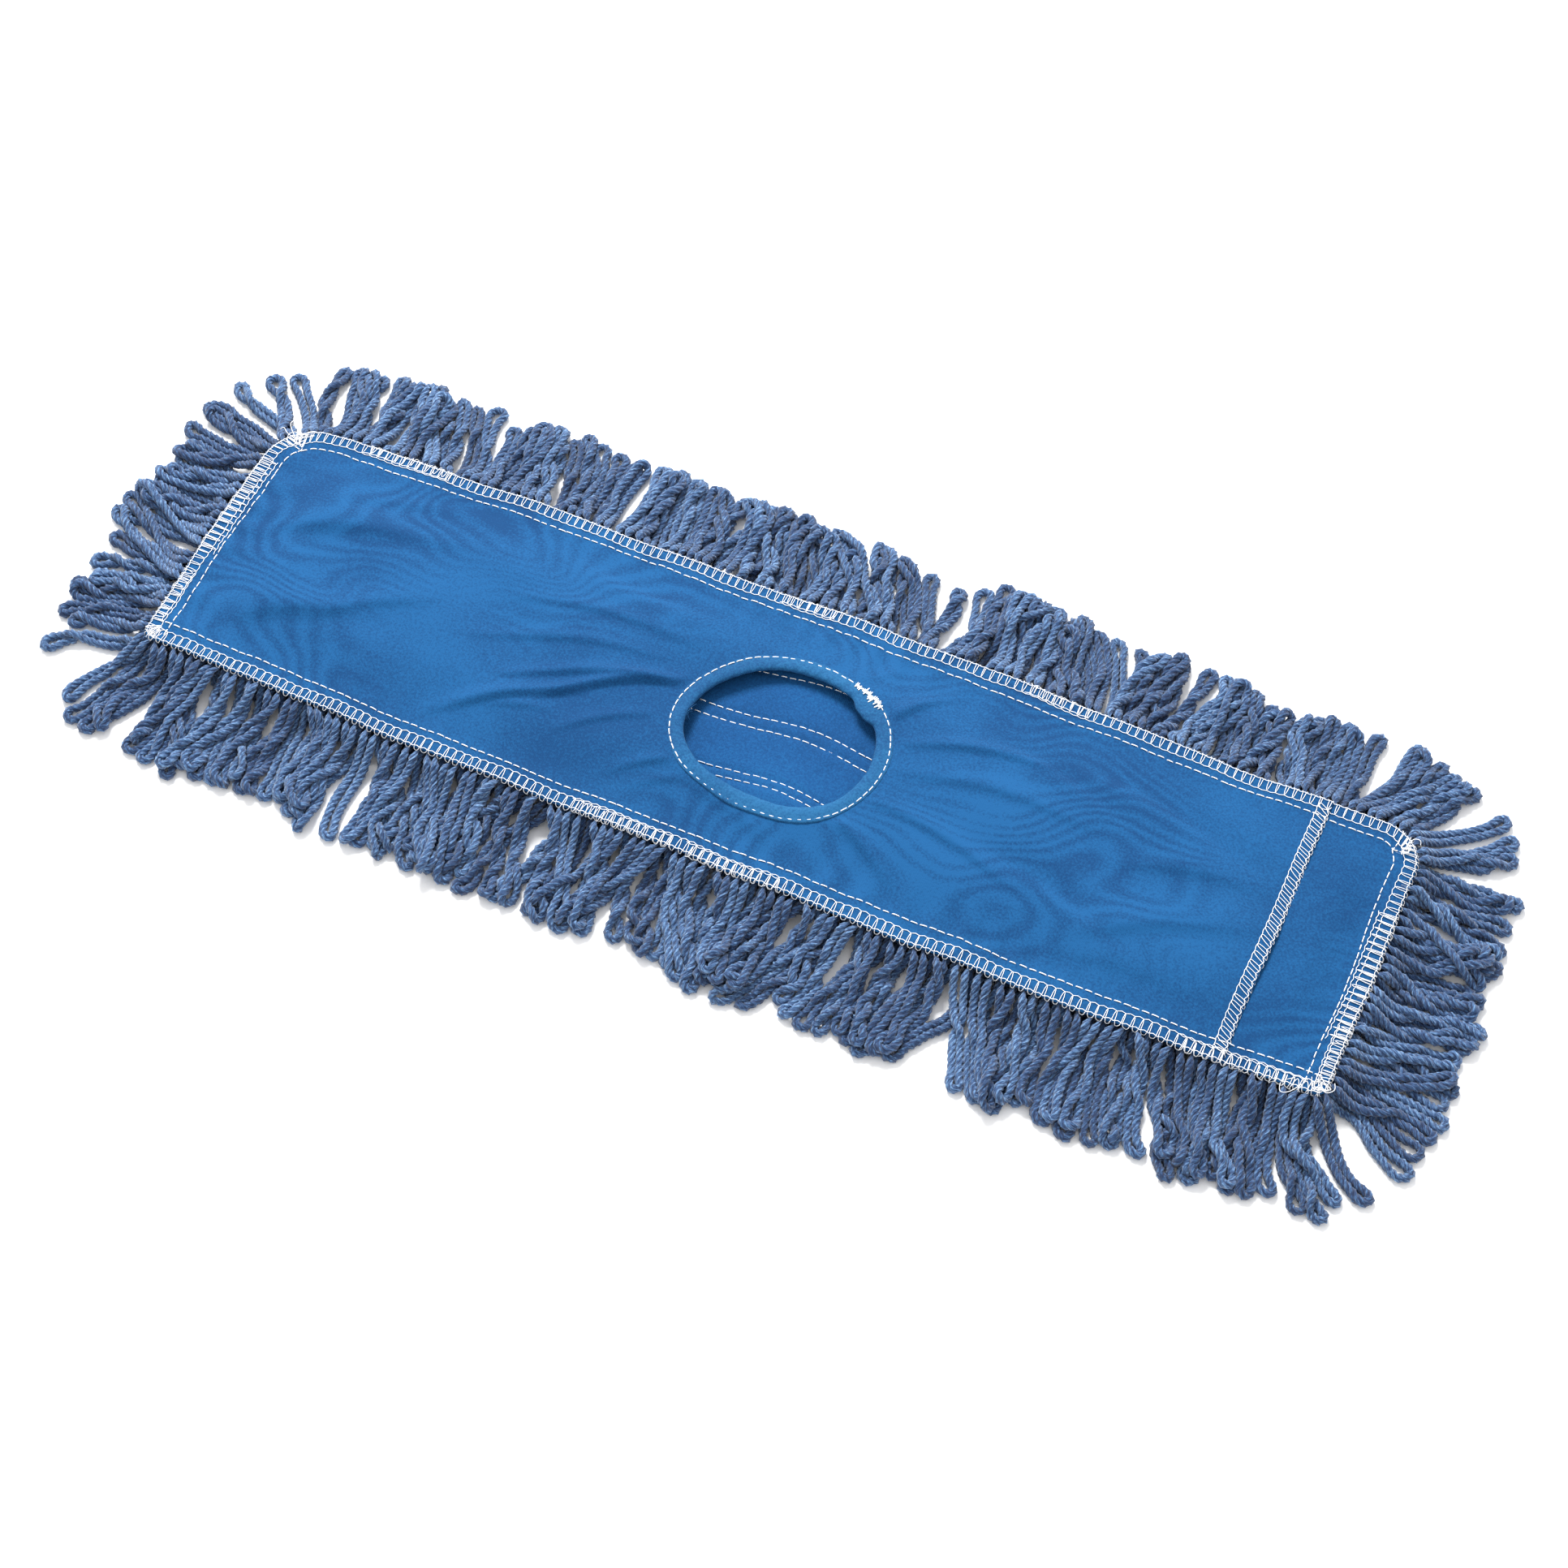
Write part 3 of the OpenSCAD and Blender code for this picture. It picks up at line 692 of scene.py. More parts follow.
sideReach = {"front": halfLength, "back": halfLength, "left": halfWidth, "right": halfWidth}
topstitches = {}
for side, reach in sideReach.items():
    gap = stitch["endGap"] if side in ("left", "right") else stitch["sideGap"]
    line = seamLine(side, -reach + gap, reach - gap)
    topstitches[side] = dashes("topstitch" + side.capitalize(), line)
bindingLine = holeLine(tape["stitchIn"], 400)[0]
bindingLoop = np.column_stack([bindingLine, coverHeight(bindingLine[:, 0], bindingLine[:, 1]) + tape["stitchUp"]])
bindingStitch = dashes("bindingStitch", np.vstack([bindingLoop, bindingLoop[:1]]), pitch=tape["dash"])
rowStitches = []
for i in range(4):
    lines = []
    for k in (2 * i, 2 * i + 1):
        x = np.linspace(-halfLength + stitch["rowGap"], halfLength - stitch["rowGap"], 500)
        z = np.full_like(x, baseHigh.z) - stitch["rowSunk"]
        lines.append(dashes("rowStitchLine", np.stack([x, rowY(k, x), z], axis=1), sides=4))
    rowStitches.append(joined("rowStitch%d" % (i + 1), lines))
print("lockstitch sewn")


# Overlock: at each stitch the looper thread runs in from the edge and back as a narrow pair of rungs that close to a
# tip, and between stitches it wraps the edge in a scallop; rails of thread lock the tips and the shoulder.
# "again" and "wide" are stretches that were sewn over a second time
overlock = {
    "pitch": 0.0044, "width": 0.0063, "radius": 0.00018, "rung": 0.0006, "wrap": 0.0018, "shoulder": 0.0007,
    "uneven": 0.12, "jitter": 0.00018, "sway": 0.0003, "endGap": 0.001,
    "again": {"front": [(-0.074, -0.02), (-0.012, 0.038), (0.245, 0.308)],
              "back": [(-0.270, -0.220), (-0.030, 0.0), (0.105, 0.140)], "left": [(-0.070, -0.035)],
              "right": [(-0.076, -0.040)]},
    "wide": {"front": [], "back": [], "left": [(-0.020, 0.050)], "right": [(-0.050, 0.030)]}}


# Copies of half a stitch and its mirror image, each a little wider or narrower than the last
def stitchRows(right, count, slant=0.0):
    shape = np.vstack([right[::-1] * np.array([-1, 1, 1]), right])
    shape[:, 0] += slant * (shape[:, 1] / right[0, 1] - 0.5)
    rows = shape[None] + np.zeros((count, 1, 1))
    rows[:, :, 0] *= 1 + rng.normal(0, overlock["uneven"], (count, 1))
    return rows


def overlockPaths(start, stop, width, jitter, lift, phase, railed=True):
    count = max(2, int((stop - start) / overlock["pitch"]))
    pitch = (stop - start) / count
    middle = np.clip(start + (np.arange(count) + 0.5 + phase) * pitch, start, stop)
    middle = middle + rng.normal(0, jitter * 0.5, count)
    shoulder, wrap, half = overlock["shoulder"], overlock["wrap"], overlock["rung"]
    # Half a stitch, each point: along the seam, inwards from the edge, up from the cloth
    right = np.array([
        [0.0, width, 0.00035], [0.45 * half, width - 0.0007, 0.0004], [0.9 * half, 0.55 * width, 0.0004],
        [half, shoulder + 0.0003, 0.0004], [half + 0.0002, 0.0003, 0.0002], [half + 0.0005, -0.0005, -0.3 * wrap],
        [half + 0.0009, -0.0007, -0.75 * wrap], [pitch / 2 - 0.0003, -0.0006, -0.98 * wrap]])
    rows = np.delete(stitchRows(right, count), len(right), axis=1)
    rows[:, 2:13, 0] += rng.normal(0, jitter, (count, 1)) * np.cos(np.linspace(0, math.pi, 11))
    rows[:, :, 1] += rng.normal(0, jitter * 0.6, (count, 1))
    rows[:, :, 0] += middle[:, None]
    rows[:, :, 2] += lift
    s = np.linspace(start, stop, count * 4 + 1)
    beat = np.cos(2 * math.pi * (s - start) / pitch)
    rails = [(width + 0.0003, 0.00035), (shoulder, 0.0006)]
    paths = [rows.reshape(-1, 3)]
    for inwards, up in rails if railed else rails[:1]:
        wander = overlock["sway"] * beat + 0.0002 * np.sin(s * 130 + inwards * 9000)
        paths.append(np.column_stack([s, inwards + wander, up + 0.0001 * beat + lift]))
    return paths


def seamThread(name, side, pieces):
    parts = []
    for rows in pieces:
        x, y = seamPlan(side, rows[:, 0], rows[:, 1])
        edgeX, edgeY = seamPlan(side, rows[:, 0], np.maximum(rows[:, 1], 0.0))
        path = np.column_stack([x, y, topHeight(edgeX, edgeY) + rows[:, 2]])
        parts.append(sweepTubes("seamPart", path[None], overlock["radius"], 5))
    return joined(name, parts)


overlocks = {}
for side, reach in sideReach.items():
    width, edge = overlock["width"], reach - overlock["endGap"]
    lines = overlockPaths(-edge, edge, width, overlock["jitter"], 0.0, 0.0)
    for start, stop in overlock["again"][side]:
        lines += overlockPaths(start, stop, width * 0.85, 0.0006, 0.0003, 0.4, railed=False)
    for start, stop in overlock["wide"][side]:
        lines += overlockPaths(start, stop, width * 1.42, 0.0004, 0.0002, 0.3, railed=False)
    overlocks[side] = seamThread("overlock" + side.capitalize(), side, lines)


# Mouth: the cover's free hem has its own overlock, with slanting rungs
hem = {"pitch": 0.0048, "width": 0.0063, "slant": 0.0034, "rung": 0.0012, "wrap": 0.0009, "margin": 0.004}


def hemThread():
    reach = halfWidth - hem["margin"]
    count = int(2 * reach / hem["pitch"])
    pitch = 2 * reach / count
    middle = -reach + (np.arange(count) + 0.5) * pitch + rng.normal(0, 0.0002, count)
    width, half, wrap = hem["width"], hem["rung"], hem["wrap"]
    right = np.array([
        [0.3 * half, width, 0.0003], [0.8 * half, width - 0.0008, 0.0004], [half, 0.5 * width, 0.0004],
        [half, 0.0006, 0.0004], [half + 0.0002, -0.0003, -0.4 * wrap], [pitch / 2 - 0.0004, -0.0004, -wrap]])
    rows = stitchRows(right, count, hem["slant"])
    rows[:, :, 1] += rng.normal(0, overlock["jitter"], (count, 1))
    rows[:, :, 0] += middle[:, None]
    s = np.linspace(-reach, reach, count * 6)
    beat = np.cos(2 * math.pi * (s + reach) / pitch)
    lines = [rows.reshape(-1, 3), np.column_stack([s, width + 0.0001 - 0.0002 * beat, 0.0004 + 0.0001 * beat]),
             np.column_stack([s, 0.0006 - 0.0006 * beat, 0.0005 + 0.0001 * beat])]
    parts = []
    for line in lines:
        x, y = sewnPlan(hemX - line[:, 1] + 0.0004 * np.sin(line[:, 0] * 40), line[:, 0])
        z = coverHeight(np.minimum(x, hemX), y) + line[:, 2]
        parts.append(sweepTubes("hemPart", np.column_stack([x, y, z])[None], overlock["radius"], 5))
    return joined("mouthOverlock", parts)


mouthOverlock = hemThread()


# Dense tack on the tape at the back right: one thread that swings in and out across it
tack = {"swings": 42, "in": 0.0010, "out": 0.0040, "uneven": 0.0007, "up": 0.0011, "radius": 0.0002}


def tackThread():
    line, outward = holeLine(tape["width"] / 2, 720)
    degrees = holeDegrees(line)
    span = np.where((degrees > tape["tackFrom"]) & (degrees < tape["tackTo"]))[0]
    count, index = tack["swings"], np.arange(720)
    at = np.linspace(span[0], span[-1], count)
    x0, y0, nx, ny = (np.interp(at, index, values) for values in (*line.T, *outward.T))
    swing = np.where(np.arange(count) % 2 == 0, tack["in"], tack["out"]) + rng.normal(0, tack["uneven"], count)
    x, y = x0 + nx * swing, y0 + ny * swing
    z = coverHeight(x, y) + tack["up"] + rng.normal(0, 0.0001, count)
    path = respace(np.column_stack([x, y, z])[None], 300)
    return sweepTubes("holeTack", path, tack["radius"], 5)


holeTack = tackThread()


# Knots where the seams end: a tangle of the overlock thread with loose tails or loops, whose points are in millimetres
knots = {
    1: {"at": (-1, -1), "turns": 12, "size": 0.0030, "tail": []},
    2: {"at": (-1, 1), "turns": 15, "size": 0.0034, "tail": [
        [(0, 0, 0), (3, 5, 1.2), (7, 8, 1.0), (10, 7, -0.6)], [(0, 0, 0), (-4, 3, 1), (-8, 8, 0.5), (-7, 13, -1)],
        [(-1, 0, 0), (-6, 1, 1.4), (-10, 4, 0.4), (-12, 3, -1)]]},
    3: {"at": (1, 1), "turns": 10, "size": 0.0026, "tail": [[(0, 0, 0), (2, 4, 1.0), (5, 5, 0.4), (6, 3, -0.6)]]},
    4: {"at": (1, -1), "turns": 13, "size": 0.0030, "tail": [
        [(-8, -2, 0), (-12, -8, 0), (-16, -9, -1), (-17, -4, -1), (-12, 0, 0)],
        [(0, 0, 0), (4, -2, 1), (7, 1, 0.6), (6, 5, -0.5)]]}}
knotShape = {"in": 0.0035, "up": 0.0007, "flat": 0.22}


def knotThread(number):
    knot = knots[number]
    x, y = sewnPlan(*(side * (half - knotShape["in"]) for side, half in zip(knot["at"], (halfLength, halfWidth))))
    middle = np.array([float(x), float(y), float(topHeight(x, y)) + knotShape["up"]])
    wander = rng.normal(0, 1, (knot["turns"], 3)) * np.array([1, 1, knotShape["flat"]]) * knot["size"]
    paths = [respace((middle + wander)[None], 5 * knot["turns"])]
    paths += [respace((middle + np.array(tail) * mm)[None], 26) for tail in knot["tail"]]
    return joined("cornerKnot%d" % number, [sweepTubes("knotPart", path, overlock["radius"], 5) for path in paths])


cornerKnots = [knotThread(number) for number in knots]
print("overlock, tack and knots sewn")


# Yarn: loops of plied yarn, laid out by rules and then let fall and settle against each other
yarnSize = {"radius": 0.00214, "touch": 0.0041, "twist": 0.0150, "lobes": 4, "lobeDepth": 0.14, "swell": 0.05,
            "swellRun": 170, "uneven": 0.03, "link": 0.0038, "floor": 0.0025}
# Two layers of loops: "root" is how far inside the edge and how high each starts, "lie" how high it lies further out
fringe = {"pitch": 0.0114, "uneven": 0.0006, "cornerCrowd": 0.25, "fan": 0.024, "long": (0.049, 0.062),
          "end": (0.047, 0.060), "bunch": (0.018, 0.045), "bunchShare": 0.45, "gather": 0.11, "lean": 0.24,
          "strayLean": 0.12, "root": ((0.0040, 0.0145), (0.0070, 0.0098)), "lie": (0.0080, 0.0036), "yarn": 0.130,
          "rounds": 110, "fall": 0.00007, "rings": (82, 76), "sides": (16, 8),
          "taper": ((0.40, 0.0045, 0.005), (0.85, 0.001, 0.004))}
# Each loop: "turns" gives the share of loops that turn over by less, then the turn and its spread in radians
loop = {"eye": (0.0027, 0.0041), "ripple": 0.0010, "legs": (0.0021, 0.0027), "bow": 0.0030, "sway": 0.0022, "leg": 0.46,
        "turn": 0.08, "untwisted": 0.4,
        "turns": ((0.18, 1.5, 0.25), (0.27, 3.14, 0.3), (0.52, 6.28, 0.4), (0.84, 9.4, 0.4)),
        "backTurned": 0.25}
# Loops whose outward direction has a larger share of Y than this belong to the long sides, and the others to the ends
halfCorner = 0.7072


def fringeRoots(layer):
    sides = [(-1, -1, 1, -1), (1, -1, 1, 1), (1, 1, -1, 1), (-1, 1, -1, -1)]
    t = np.linspace(0, 1, 400, endpoint=False)
    x = np.concatenate([(a + (c - a) * t) * halfLength for a, b, c, d in sides])
    y = np.concatenate([(b + (d - b) * t) * halfWidth for a, b, c, d in sides])
    x, y = sewnPlan(x, y)
    x, y = np.append(x, x[0]), np.append(y, y[0])
    run = np.concatenate([[0], np.cumsum(np.hypot(np.diff(x), np.diff(y)))])
    fine = np.linspace(0, run[-1], 3001)[:-1]
    x, y = np.interp(fine, run, x), np.interp(fine, run, y)
    step = fine[1]
    direct = unit(np.column_stack([np.roll(y, -1) - np.roll(y, 1), np.roll(x, 1) - np.roll(x, -1)]))
    reach = int(3 * fringe["fan"] / step)
    weight = np.exp(-(np.arange(-reach, reach + 1) * step / fringe["fan"]) ** 2)
    weight /= weight.sum()
    # The mean outward direction near each point turns gradually round the corners
    spread = np.column_stack([np.convolve(np.concatenate([part[-reach:], part, part[:reach]]), weight, mode="valid")
                              for part in direct.T])
    cornerness = 1 - np.linalg.norm(spread, axis=1)
    spread = unit(spread)
    density = (1 + fringe["cornerCrowd"] * cornerness / cornerness.max()) / fringe["pitch"]
    tally = np.concatenate([[0], np.cumsum(density) * step])
    count = int(tally[-1])
    wanted = (np.arange(count) + (0.5 if layer else 0.0)) / count * tally[-1]
    at = np.interp(wanted, tally, np.append(fine, run[-1])) + rng.normal(0, fringe["uneven"], count)
    pick = (at / step).astype(int) % 3000
    return np.column_stack([x[pick], y[pick]]), direct[pick], spread[pick], at, run[-1]


def fringeGuide(layer):
    root, straight, spread, at, whole = fringeRoots(layer)
    count = len(at)
    # Loops gather in bunches, which leaves wedge gaps between them
    marks = [0.0]
    while marks[-1] < whole:
        marks.append(marks[-1] + rng.uniform(*fringe["bunch"]))
    marks = np.array(marks) * whole / marks[-1]
    which = np.clip(np.searchsorted(marks, at) - 1, 0, len(marks) - 2)
    middle = (marks[which] + marks[which + 1]) / 2
    pull = rng.uniform(0.5, 1.5, len(marks))[which] * fringe["gather"]
    bunchLean = rng.normal(0, fringe["lean"], len(marks))[which]
    facesSide = np.abs(spread[:, 1]) > halfCorner
    low, high = (np.where(facesSide, fringe["long"][k], fringe["end"][k]) for k in (0, 1))
    bunchReach = rng.uniform(0, 1, len(marks))[which]
    share = fringe["bunchShare"] * bunchReach + (1 - fringe["bunchShare"]) * rng.uniform(0, 1, count)
    reach = low + (high - low) * share
    shift = -(at - middle) * pull + bunchLean * reach + rng.normal(0, fringe["strayLean"], count) * reach
    return root, straight, spread, reach, shift


# The middle line of each loop: out along one leg, round the eye and back along the other
def loopPaths(root, straight, spread, reach, shift, inside, rootHigh, lieHigh, points=120):
    count = len(reach)
    eye = rng.uniform(*loop["eye"], count)
    kind = rng.uniform(0, 1, count)
    roll = rng.normal(0, loop["untwisted"], count)
    for least, turned, uneven in loop["turns"]:
        roll = np.where(kind > least, rng.normal(turned, uneven, count), roll)
    roll = roll * rng.choice([-1, 1], count, p=[loop["backTurned"], 1 - loop["backTurned"]])
    rollRun = np.where(np.abs(roll) > 4.5, rng.uniform(0.7, 0.95, count), rng.uniform(0.4, 0.6, count))
    rollFrom = rng.uniform(-0.1, 0.15, count) + 0.3 * (0.95 - rollRun)
    bow = rng.normal(0, loop["bow"], count)
    sway = rng.normal(0, loop["sway"], count)
    legs = rng.uniform(*loop["legs"], count)
    t = np.linspace(0, 1, points)
    outLeg = t < loop["leg"]
    backLeg = t > 1 - loop["leg"]
    end = (reach - eye)[:, None]
    along = np.where(outLeg, t / loop["leg"], np.where(backLeg, (1 - t) / loop["leg"], 1.0))[None, :]
    turn = np.clip((t - loop["leg"]) / loop["turn"], 0, 1)[None, :] * math.pi
    u = -inside + (end + inside) * along + eye[:, None] * np.sin(turn) * ~(outLeg | backLeg)[None, :]
    flare = smooth((u - (reach - 4.6 * eye)[:, None]) / (3.4 * eye)[:, None])
    leg = np.where(t < 0.5, 0, 1)
    ripple = rng.normal(0, loop["ripple"], (count, 2))[:, leg]
    ripple = ripple * np.sin(3 * math.pi * along + rng.uniform(0, 6, (count, 2))[:, leg])
    half = legs[:, None] * (1 - 0.14 * smooth(u / 0.02)) + (eye - 0.86 * legs)[:, None] * flare
    v = half * np.where(outLeg, -1, np.where(backLeg, 1, -np.cos(turn)))
    portion = np.clip(u / reach[:, None], 0, 1)
    angle = roll[:, None] * np.clip((portion - rollFrom[:, None]) / rollRun[:, None], 0, 1)
    drop = smooth((u + 0.001) / (0.72 * reach)[:, None])
    high = rootHigh + (lieHigh - rootHigh) * drop
    sideways = shift[:, None] * portion ** 1.5 + bow[:, None] * np.sin(math.pi * portion) + sway[:, None] * np.sin(
        2 * math.pi * portion)
    # Outwards the loop follows a curve from the seam's own direction to its fanned one
    tilt = np.arctan2(spread[:, 0] * straight[:, 1] - spread[:, 1] * straight[:, 0], (spread * straight).sum(1))
    bend = -tilt[:, None] * smooth(portion / 0.6)
    heading = np.arctan2(straight[:, 1], straight[:, 0])[:, None] + bend
    stepU = np.diff(u, axis=1, prepend=u[:, :1])
    startX = root[:, :1] - straight[:, :1] * inside
    startY = root[:, 1:] - straight[:, 1:] * inside
    x = startX + np.cumsum(stepU * np.cos(heading), axis=1)
    y = startY + np.cumsum(stepU * np.sin(heading), axis=1)
    lateral = sideways + v * np.cos(angle) + ripple * np.sin(math.pi * along)
    x = x - np.sin(heading) * lateral
    y = y + np.cos(heading) * lateral
    z = high + v * np.sin(angle) - 0.7 * ripple * np.sin(math.pi * along)
    return np.stack([x, y, z], axis=-1)


# Pairs of points closer than a reach, found through a grid of cells
def closePairs(points, reach):
    cell = np.floor(points / reach).astype(np.int64)
    cell -= cell.min(0) - 1
    size = cell.max(0) + 3
    key = (cell[:, 0] * size[1] + cell[:, 1]) * size[2] + cell[:, 2]
    order = np.argsort(key, kind="stable")
    ranked = key[order]
    firsts, seconds = [], []
    steps = [(a, b, c) for a in (-1, 0, 1) for b in (-1, 0, 1) for c in (-1, 0, 1) if (a, b, c) >= (0, 0, 0)]
    for a, b, c in steps:
        wanted = key + (a * size[1] + b) * size[2] + c
        low = np.searchsorted(ranked, wanted, "left")
        n = np.searchsorted(ranked, wanted, "right") - low
        i = np.repeat(np.arange(len(points)), n)
        j = order[np.repeat(low - np.cumsum(n) + n, n) + np.arange(n.sum())]
        if (a, b, c) == (0, 0, 0):
            i, j = i[i < j], j[i < j]
        firsts.append(i)
        seconds.append(j)
    i, j = np.concatenate(firsts), np.concatenate(seconds)
    near = ((points[i] - points[j]) ** 2).sum(1) < reach ** 2
    return i[near], j[near]


# How the yarn falls: "glide" is the speed kept from round to round, and "bend" how stiffly each second link is held
fall = {"glide": 0.86, "fastest": 0.002, "near": 1.35, "inner": 3, "push": 0.36, "bend": 0.35}


# Lets the yarn fall, keeping each length, and pushes touching strands apart
def settle(groups, rounds, gravity, ceiling=math.inf, memory=0.012, pinned=3):
    counts = [g.shape[0] * g.shape[1] for g in groups]
    p = np.concatenate([g.reshape(-1, 3) for g in groups])
    loopOf = np.concatenate([np.repeat(np.arange(len(g)), g.shape[1]) + 100000 * k for k, g in enumerate(groups)])
    place = np.concatenate([np.tile(np.arange(g.shape[1]), len(g)) for g in groups])
    longest = np.concatenate([np.full(c, g.shape[1]) for c, g in zip(counts, groups)])
    index = np.arange(len(p))
    # Links to the next point and to the one after it, each in two sets that share no point
    links = []
    for gap, stiff in ((1, 1.0), (2, fall["bend"])):
        linked = index[place < longest - gap]
        length = np.zeros(len(p))
        length[linked] = np.linalg.norm(p[linked + gap] - p[linked], axis=1)
        for k in (0, 1):
            a = linked[place[linked] % (2 * gap) // gap == k]
            links.append((a, a + gap, length[a], stiff))
    held = (place < pinned) | (place >= longest - pinned)
    start = p.copy()
    before = p.copy()
    for turn in range(rounds):
        speed = np.clip((p - before) * fall["glide"], -fall["fastest"], fall["fastest"])
        before = p.copy()
        p = p + speed
        p[:, 2] -= gravity
        p[:, :2] += (start[:, :2] - p[:, :2]) * memory
        if turn % 3 == 0:
            i, j = closePairs(p, yarnSize["touch"] * fall["near"])
            keep = (loopOf[i] != loopOf[j]) | (np.abs(place[i] - place[j]) > 3)
            i, j = i[keep], j[keep]
        for inner in range(fall["inner"]):
            apart = p[i] - p[j]
            distance = np.maximum(np.linalg.norm(apart, axis=1), 1e-6)
            push = np.maximum(yarnSize["touch"] - distance, 0) * fall["push"] / distance
            move = apart * push[:, None]
            for axis in range(3):
                p[:, axis] += np.bincount(i, move[:, axis], len(p)) - np.bincount(j, move[:, axis], len(p))
            for a, b, rest, stiff in links:
                line = p[b] - p[a]
                length = np.maximum(np.linalg.norm(line, axis=1), 1e-6)
                fix = line * ((length - rest) / length * 0.5 * stiff)[:, None]
                p[a] += fix
                p[b] -= fix
            p[:, 2] = np.clip(p[:, 2], yarnSize["floor"], ceiling)
            p[held] = start[held]
    return [part.reshape(g.shape) for g, part in zip(groups, np.split(p, np.cumsum(counts)[:-1]))]


def yarnPiece(name, paths, rings, sides, taper):
    fine = respace(paths, rings)
    run = runAlong(fine)
    fromEnd = np.minimum(run, run[:, -1:] - run)
    phase = rng.uniform(0, 6, (len(fine), 1))
    uneven = 1 + yarnSize["swell"] * np.sin(run * yarnSize["swellRun"] + phase)
    uneven = uneven + rng.normal(0, yarnSize["uneven"], (len(fine), 1))
    radius = yarnSize["radius"] * uneven
    thin, thinRun, growRun = taper
    radius = radius * (thin + (1 - thin) * smooth((fromEnd - thinRun) / growRun))
    return sweepTubes(name, fine, radius, sides, lobes=yarnSize["lobes"], lobeDepth=yarnSize["lobeDepth"],
                      twist=yarnSize["twist"], strand=rng.uniform(-1, 1, len(fine)))


guides = [fringeGuide(layer) for layer in (0, 1)]
layers = [loopPaths(*guides[k], *fringe["root"][k], fringe["lie"][k]) for k in (0, 1)]
layers = settle([respace(paths, int(fringe["yarn"] / yarnSize["link"])) for paths in layers], fringe["rounds"],
                fringe["fall"])
print("fringe settled")

outwards = {"Front": (0, -1), "Back": (0, 1), "Left": (-1, 0), "Right": (1, 0)}
fringePieces = {}
for layer, paths in enumerate(layers):
    spread = guides[layer][2]
    facesSide = np.abs(spread[:, 1]) > halfCorner
    for side, (outX, outY) in outwards.items():
        mask = (facesSide & (spread[:, 1] * outY > 0)) | (~facesSide & (spread[:, 0] * outX > 0))
        name = "fringe" + side + ("Upper", "Lower")[layer]
        obj = yarnPiece(name, paths[mask], fringe["rings"][layer], fringe["sides"][layer], fringe["taper"][layer])
        fringePieces[name] = (side, obj)
print("fringe spun")


# Rows of loops under the base, lying to both sides of their sewing lines
pile = {"pitch": 0.0115, "reach": (0.026, 0.034), "least": 0.014, "edge": 0.009, "endGap": 0.004, "root": 0.0106,
        "lie": 0.004, "lean": 0.2, "uneven": 0.001, "ceiling": 0.0107, "links": 16, "rounds": 50, "fall": 0.00005,
        "memory": 0.05, "rings": 30, "sides": 6, "taper": (0.8, 0.001, 0.004)}


def pilePaths(row):
    end = halfLength - pile["edge"] - pile["endGap"]
    x = np.arange(-end, end, pile["pitch"])
    groups = []
    for direction, lineIndex in ((-1, 2 * row), (1, 2 * row + 1)):
        at = x + rng.normal(0, pile["uneven"], len(x))
        y = rowY(lineIndex, at)
        straight = np.column_stack([np.zeros(len(x)), np.full(len(x), direction, float)])
        room = halfWidth - pile["edge"] - direction * y
        reach = np.minimum(rng.uniform(*pile["reach"], len(x)), np.maximum(room, pile["least"]))
        lean = rng.normal(0, pile["lean"], len(x)) * reach
        root = np.column_stack([at, y])
        groups.append(loopPaths(root, straight, straight, reach, lean, 0.0, pile["root"], pile["lie"], 60))
    return np.concatenate(groups)


pileRows = [pilePaths(row) for row in range(4)]
pileRows = settle([respace(paths, pile["links"]) for paths in pileRows], pile["rounds"], pile["fall"],
                  pile["ceiling"], pile["memory"], pinned=1)
pilePieces = [yarnPiece("pileRow%d" % (k + 1), paths, pile["rings"], pile["sides"], pile["taper"])
              for k, paths in enumerate(pileRows)]
print("pile rows made")


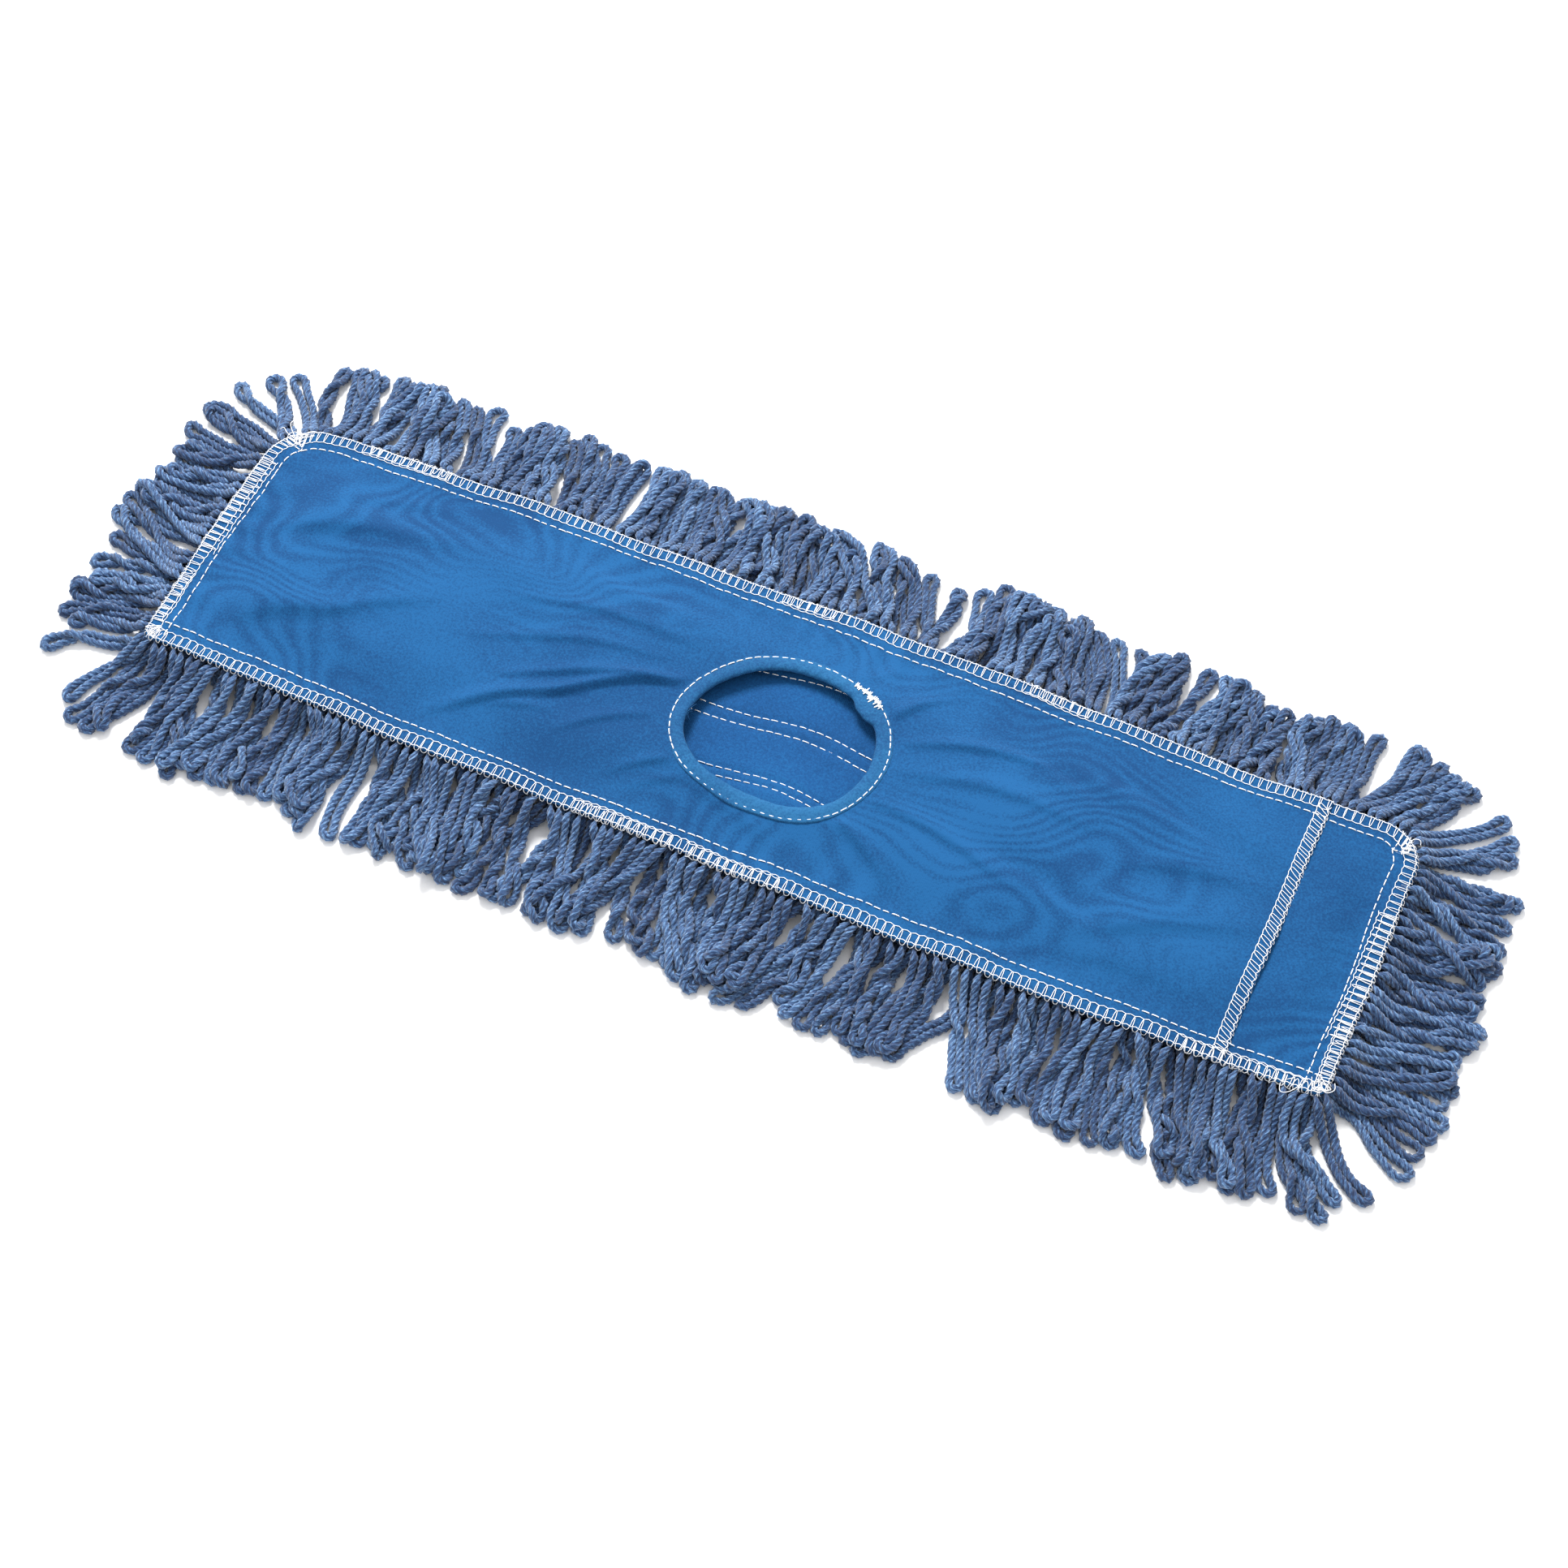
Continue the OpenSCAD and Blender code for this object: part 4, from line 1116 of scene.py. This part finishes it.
# Heading: the zigzag of yarn that the fringe is knitted on, held inside the seam
heading = {"pitch": 0.0053, "near": 0.0025, "far": 0.0100, "radius": 0.00085, "endGap": 0.006, "up": 0.001}


def headingYarn(side, reach):
    reach = reach - heading["endGap"]
    count = int(2 * reach / heading["pitch"]) * 2
    s = np.linspace(-reach, reach, count)
    inwards = np.where(np.arange(count) % 2 == 0, heading["near"], heading["far"])
    x, y = seamPlan(side, s, inwards)
    z = np.full(count, baseHigh.z + heading["up"])
    path = respace(np.column_stack([x, y, z])[None], count * 4)
    return sweepTubes("heading" + side.capitalize(), path, heading["radius"], 6, strand=np.zeros(1))


headings = {side: headingYarn(side, reach) for side, reach in sideReach.items()}
print("headings made")


# Each piece stands for its CAD nodes and takes its finish from a slot; all but the fringe ride on the head body
finishes = {"cover_cloth": coverCloth, "base_cloth": liningCloth, "binding_tape": tapeCloth, "thread": thread,
            "yarn": yarn}


def finishPiece(obj, slot, replaced, bendSide=None):
    obj.data.materials.clear()
    obj.data.materials.append(finishes[slot])
    if bendSide:
        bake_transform(obj)
    else:
        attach(obj, "head")
    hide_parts(replaced)


finishPiece(cover, "cover_cloth", "cover_panel")
finishPiece(endPanel, "cover_cloth", "end_panel")
finishPiece(base, "base_cloth", "base_panel")
finishPiece(binding, "binding_tape", "hole_binding")
finishPiece(bindingStitch, "thread", "hole_binding_stitch")
finishPiece(holeTack, "thread", "hole_tack")
finishPiece(mouthOverlock, "thread", "mouth_overlock")
for side in sideReach:
    finishPiece(overlocks[side], "thread", "overlock_" + side)
    finishPiece(topstitches[side], "thread", "topstitch_" + side)
    finishPiece(headings[side], "yarn", "heading_" + side)
for k in range(4):
    finishPiece(rowStitches[k], "thread", "row_stitch_%d" % (k + 1))
    finishPiece(cornerKnots[k], "thread", "corner_knot_%d" % (k + 1))
    finishPiece(pilePieces[k], "yarn", "pile_row_%d" % (k + 1))
for side, obj in fringePieces.values():
    finishPiece(obj, "yarn", "fringe_" + side.lower(), bendSide=side)

print("pieces fastened to their bodies")
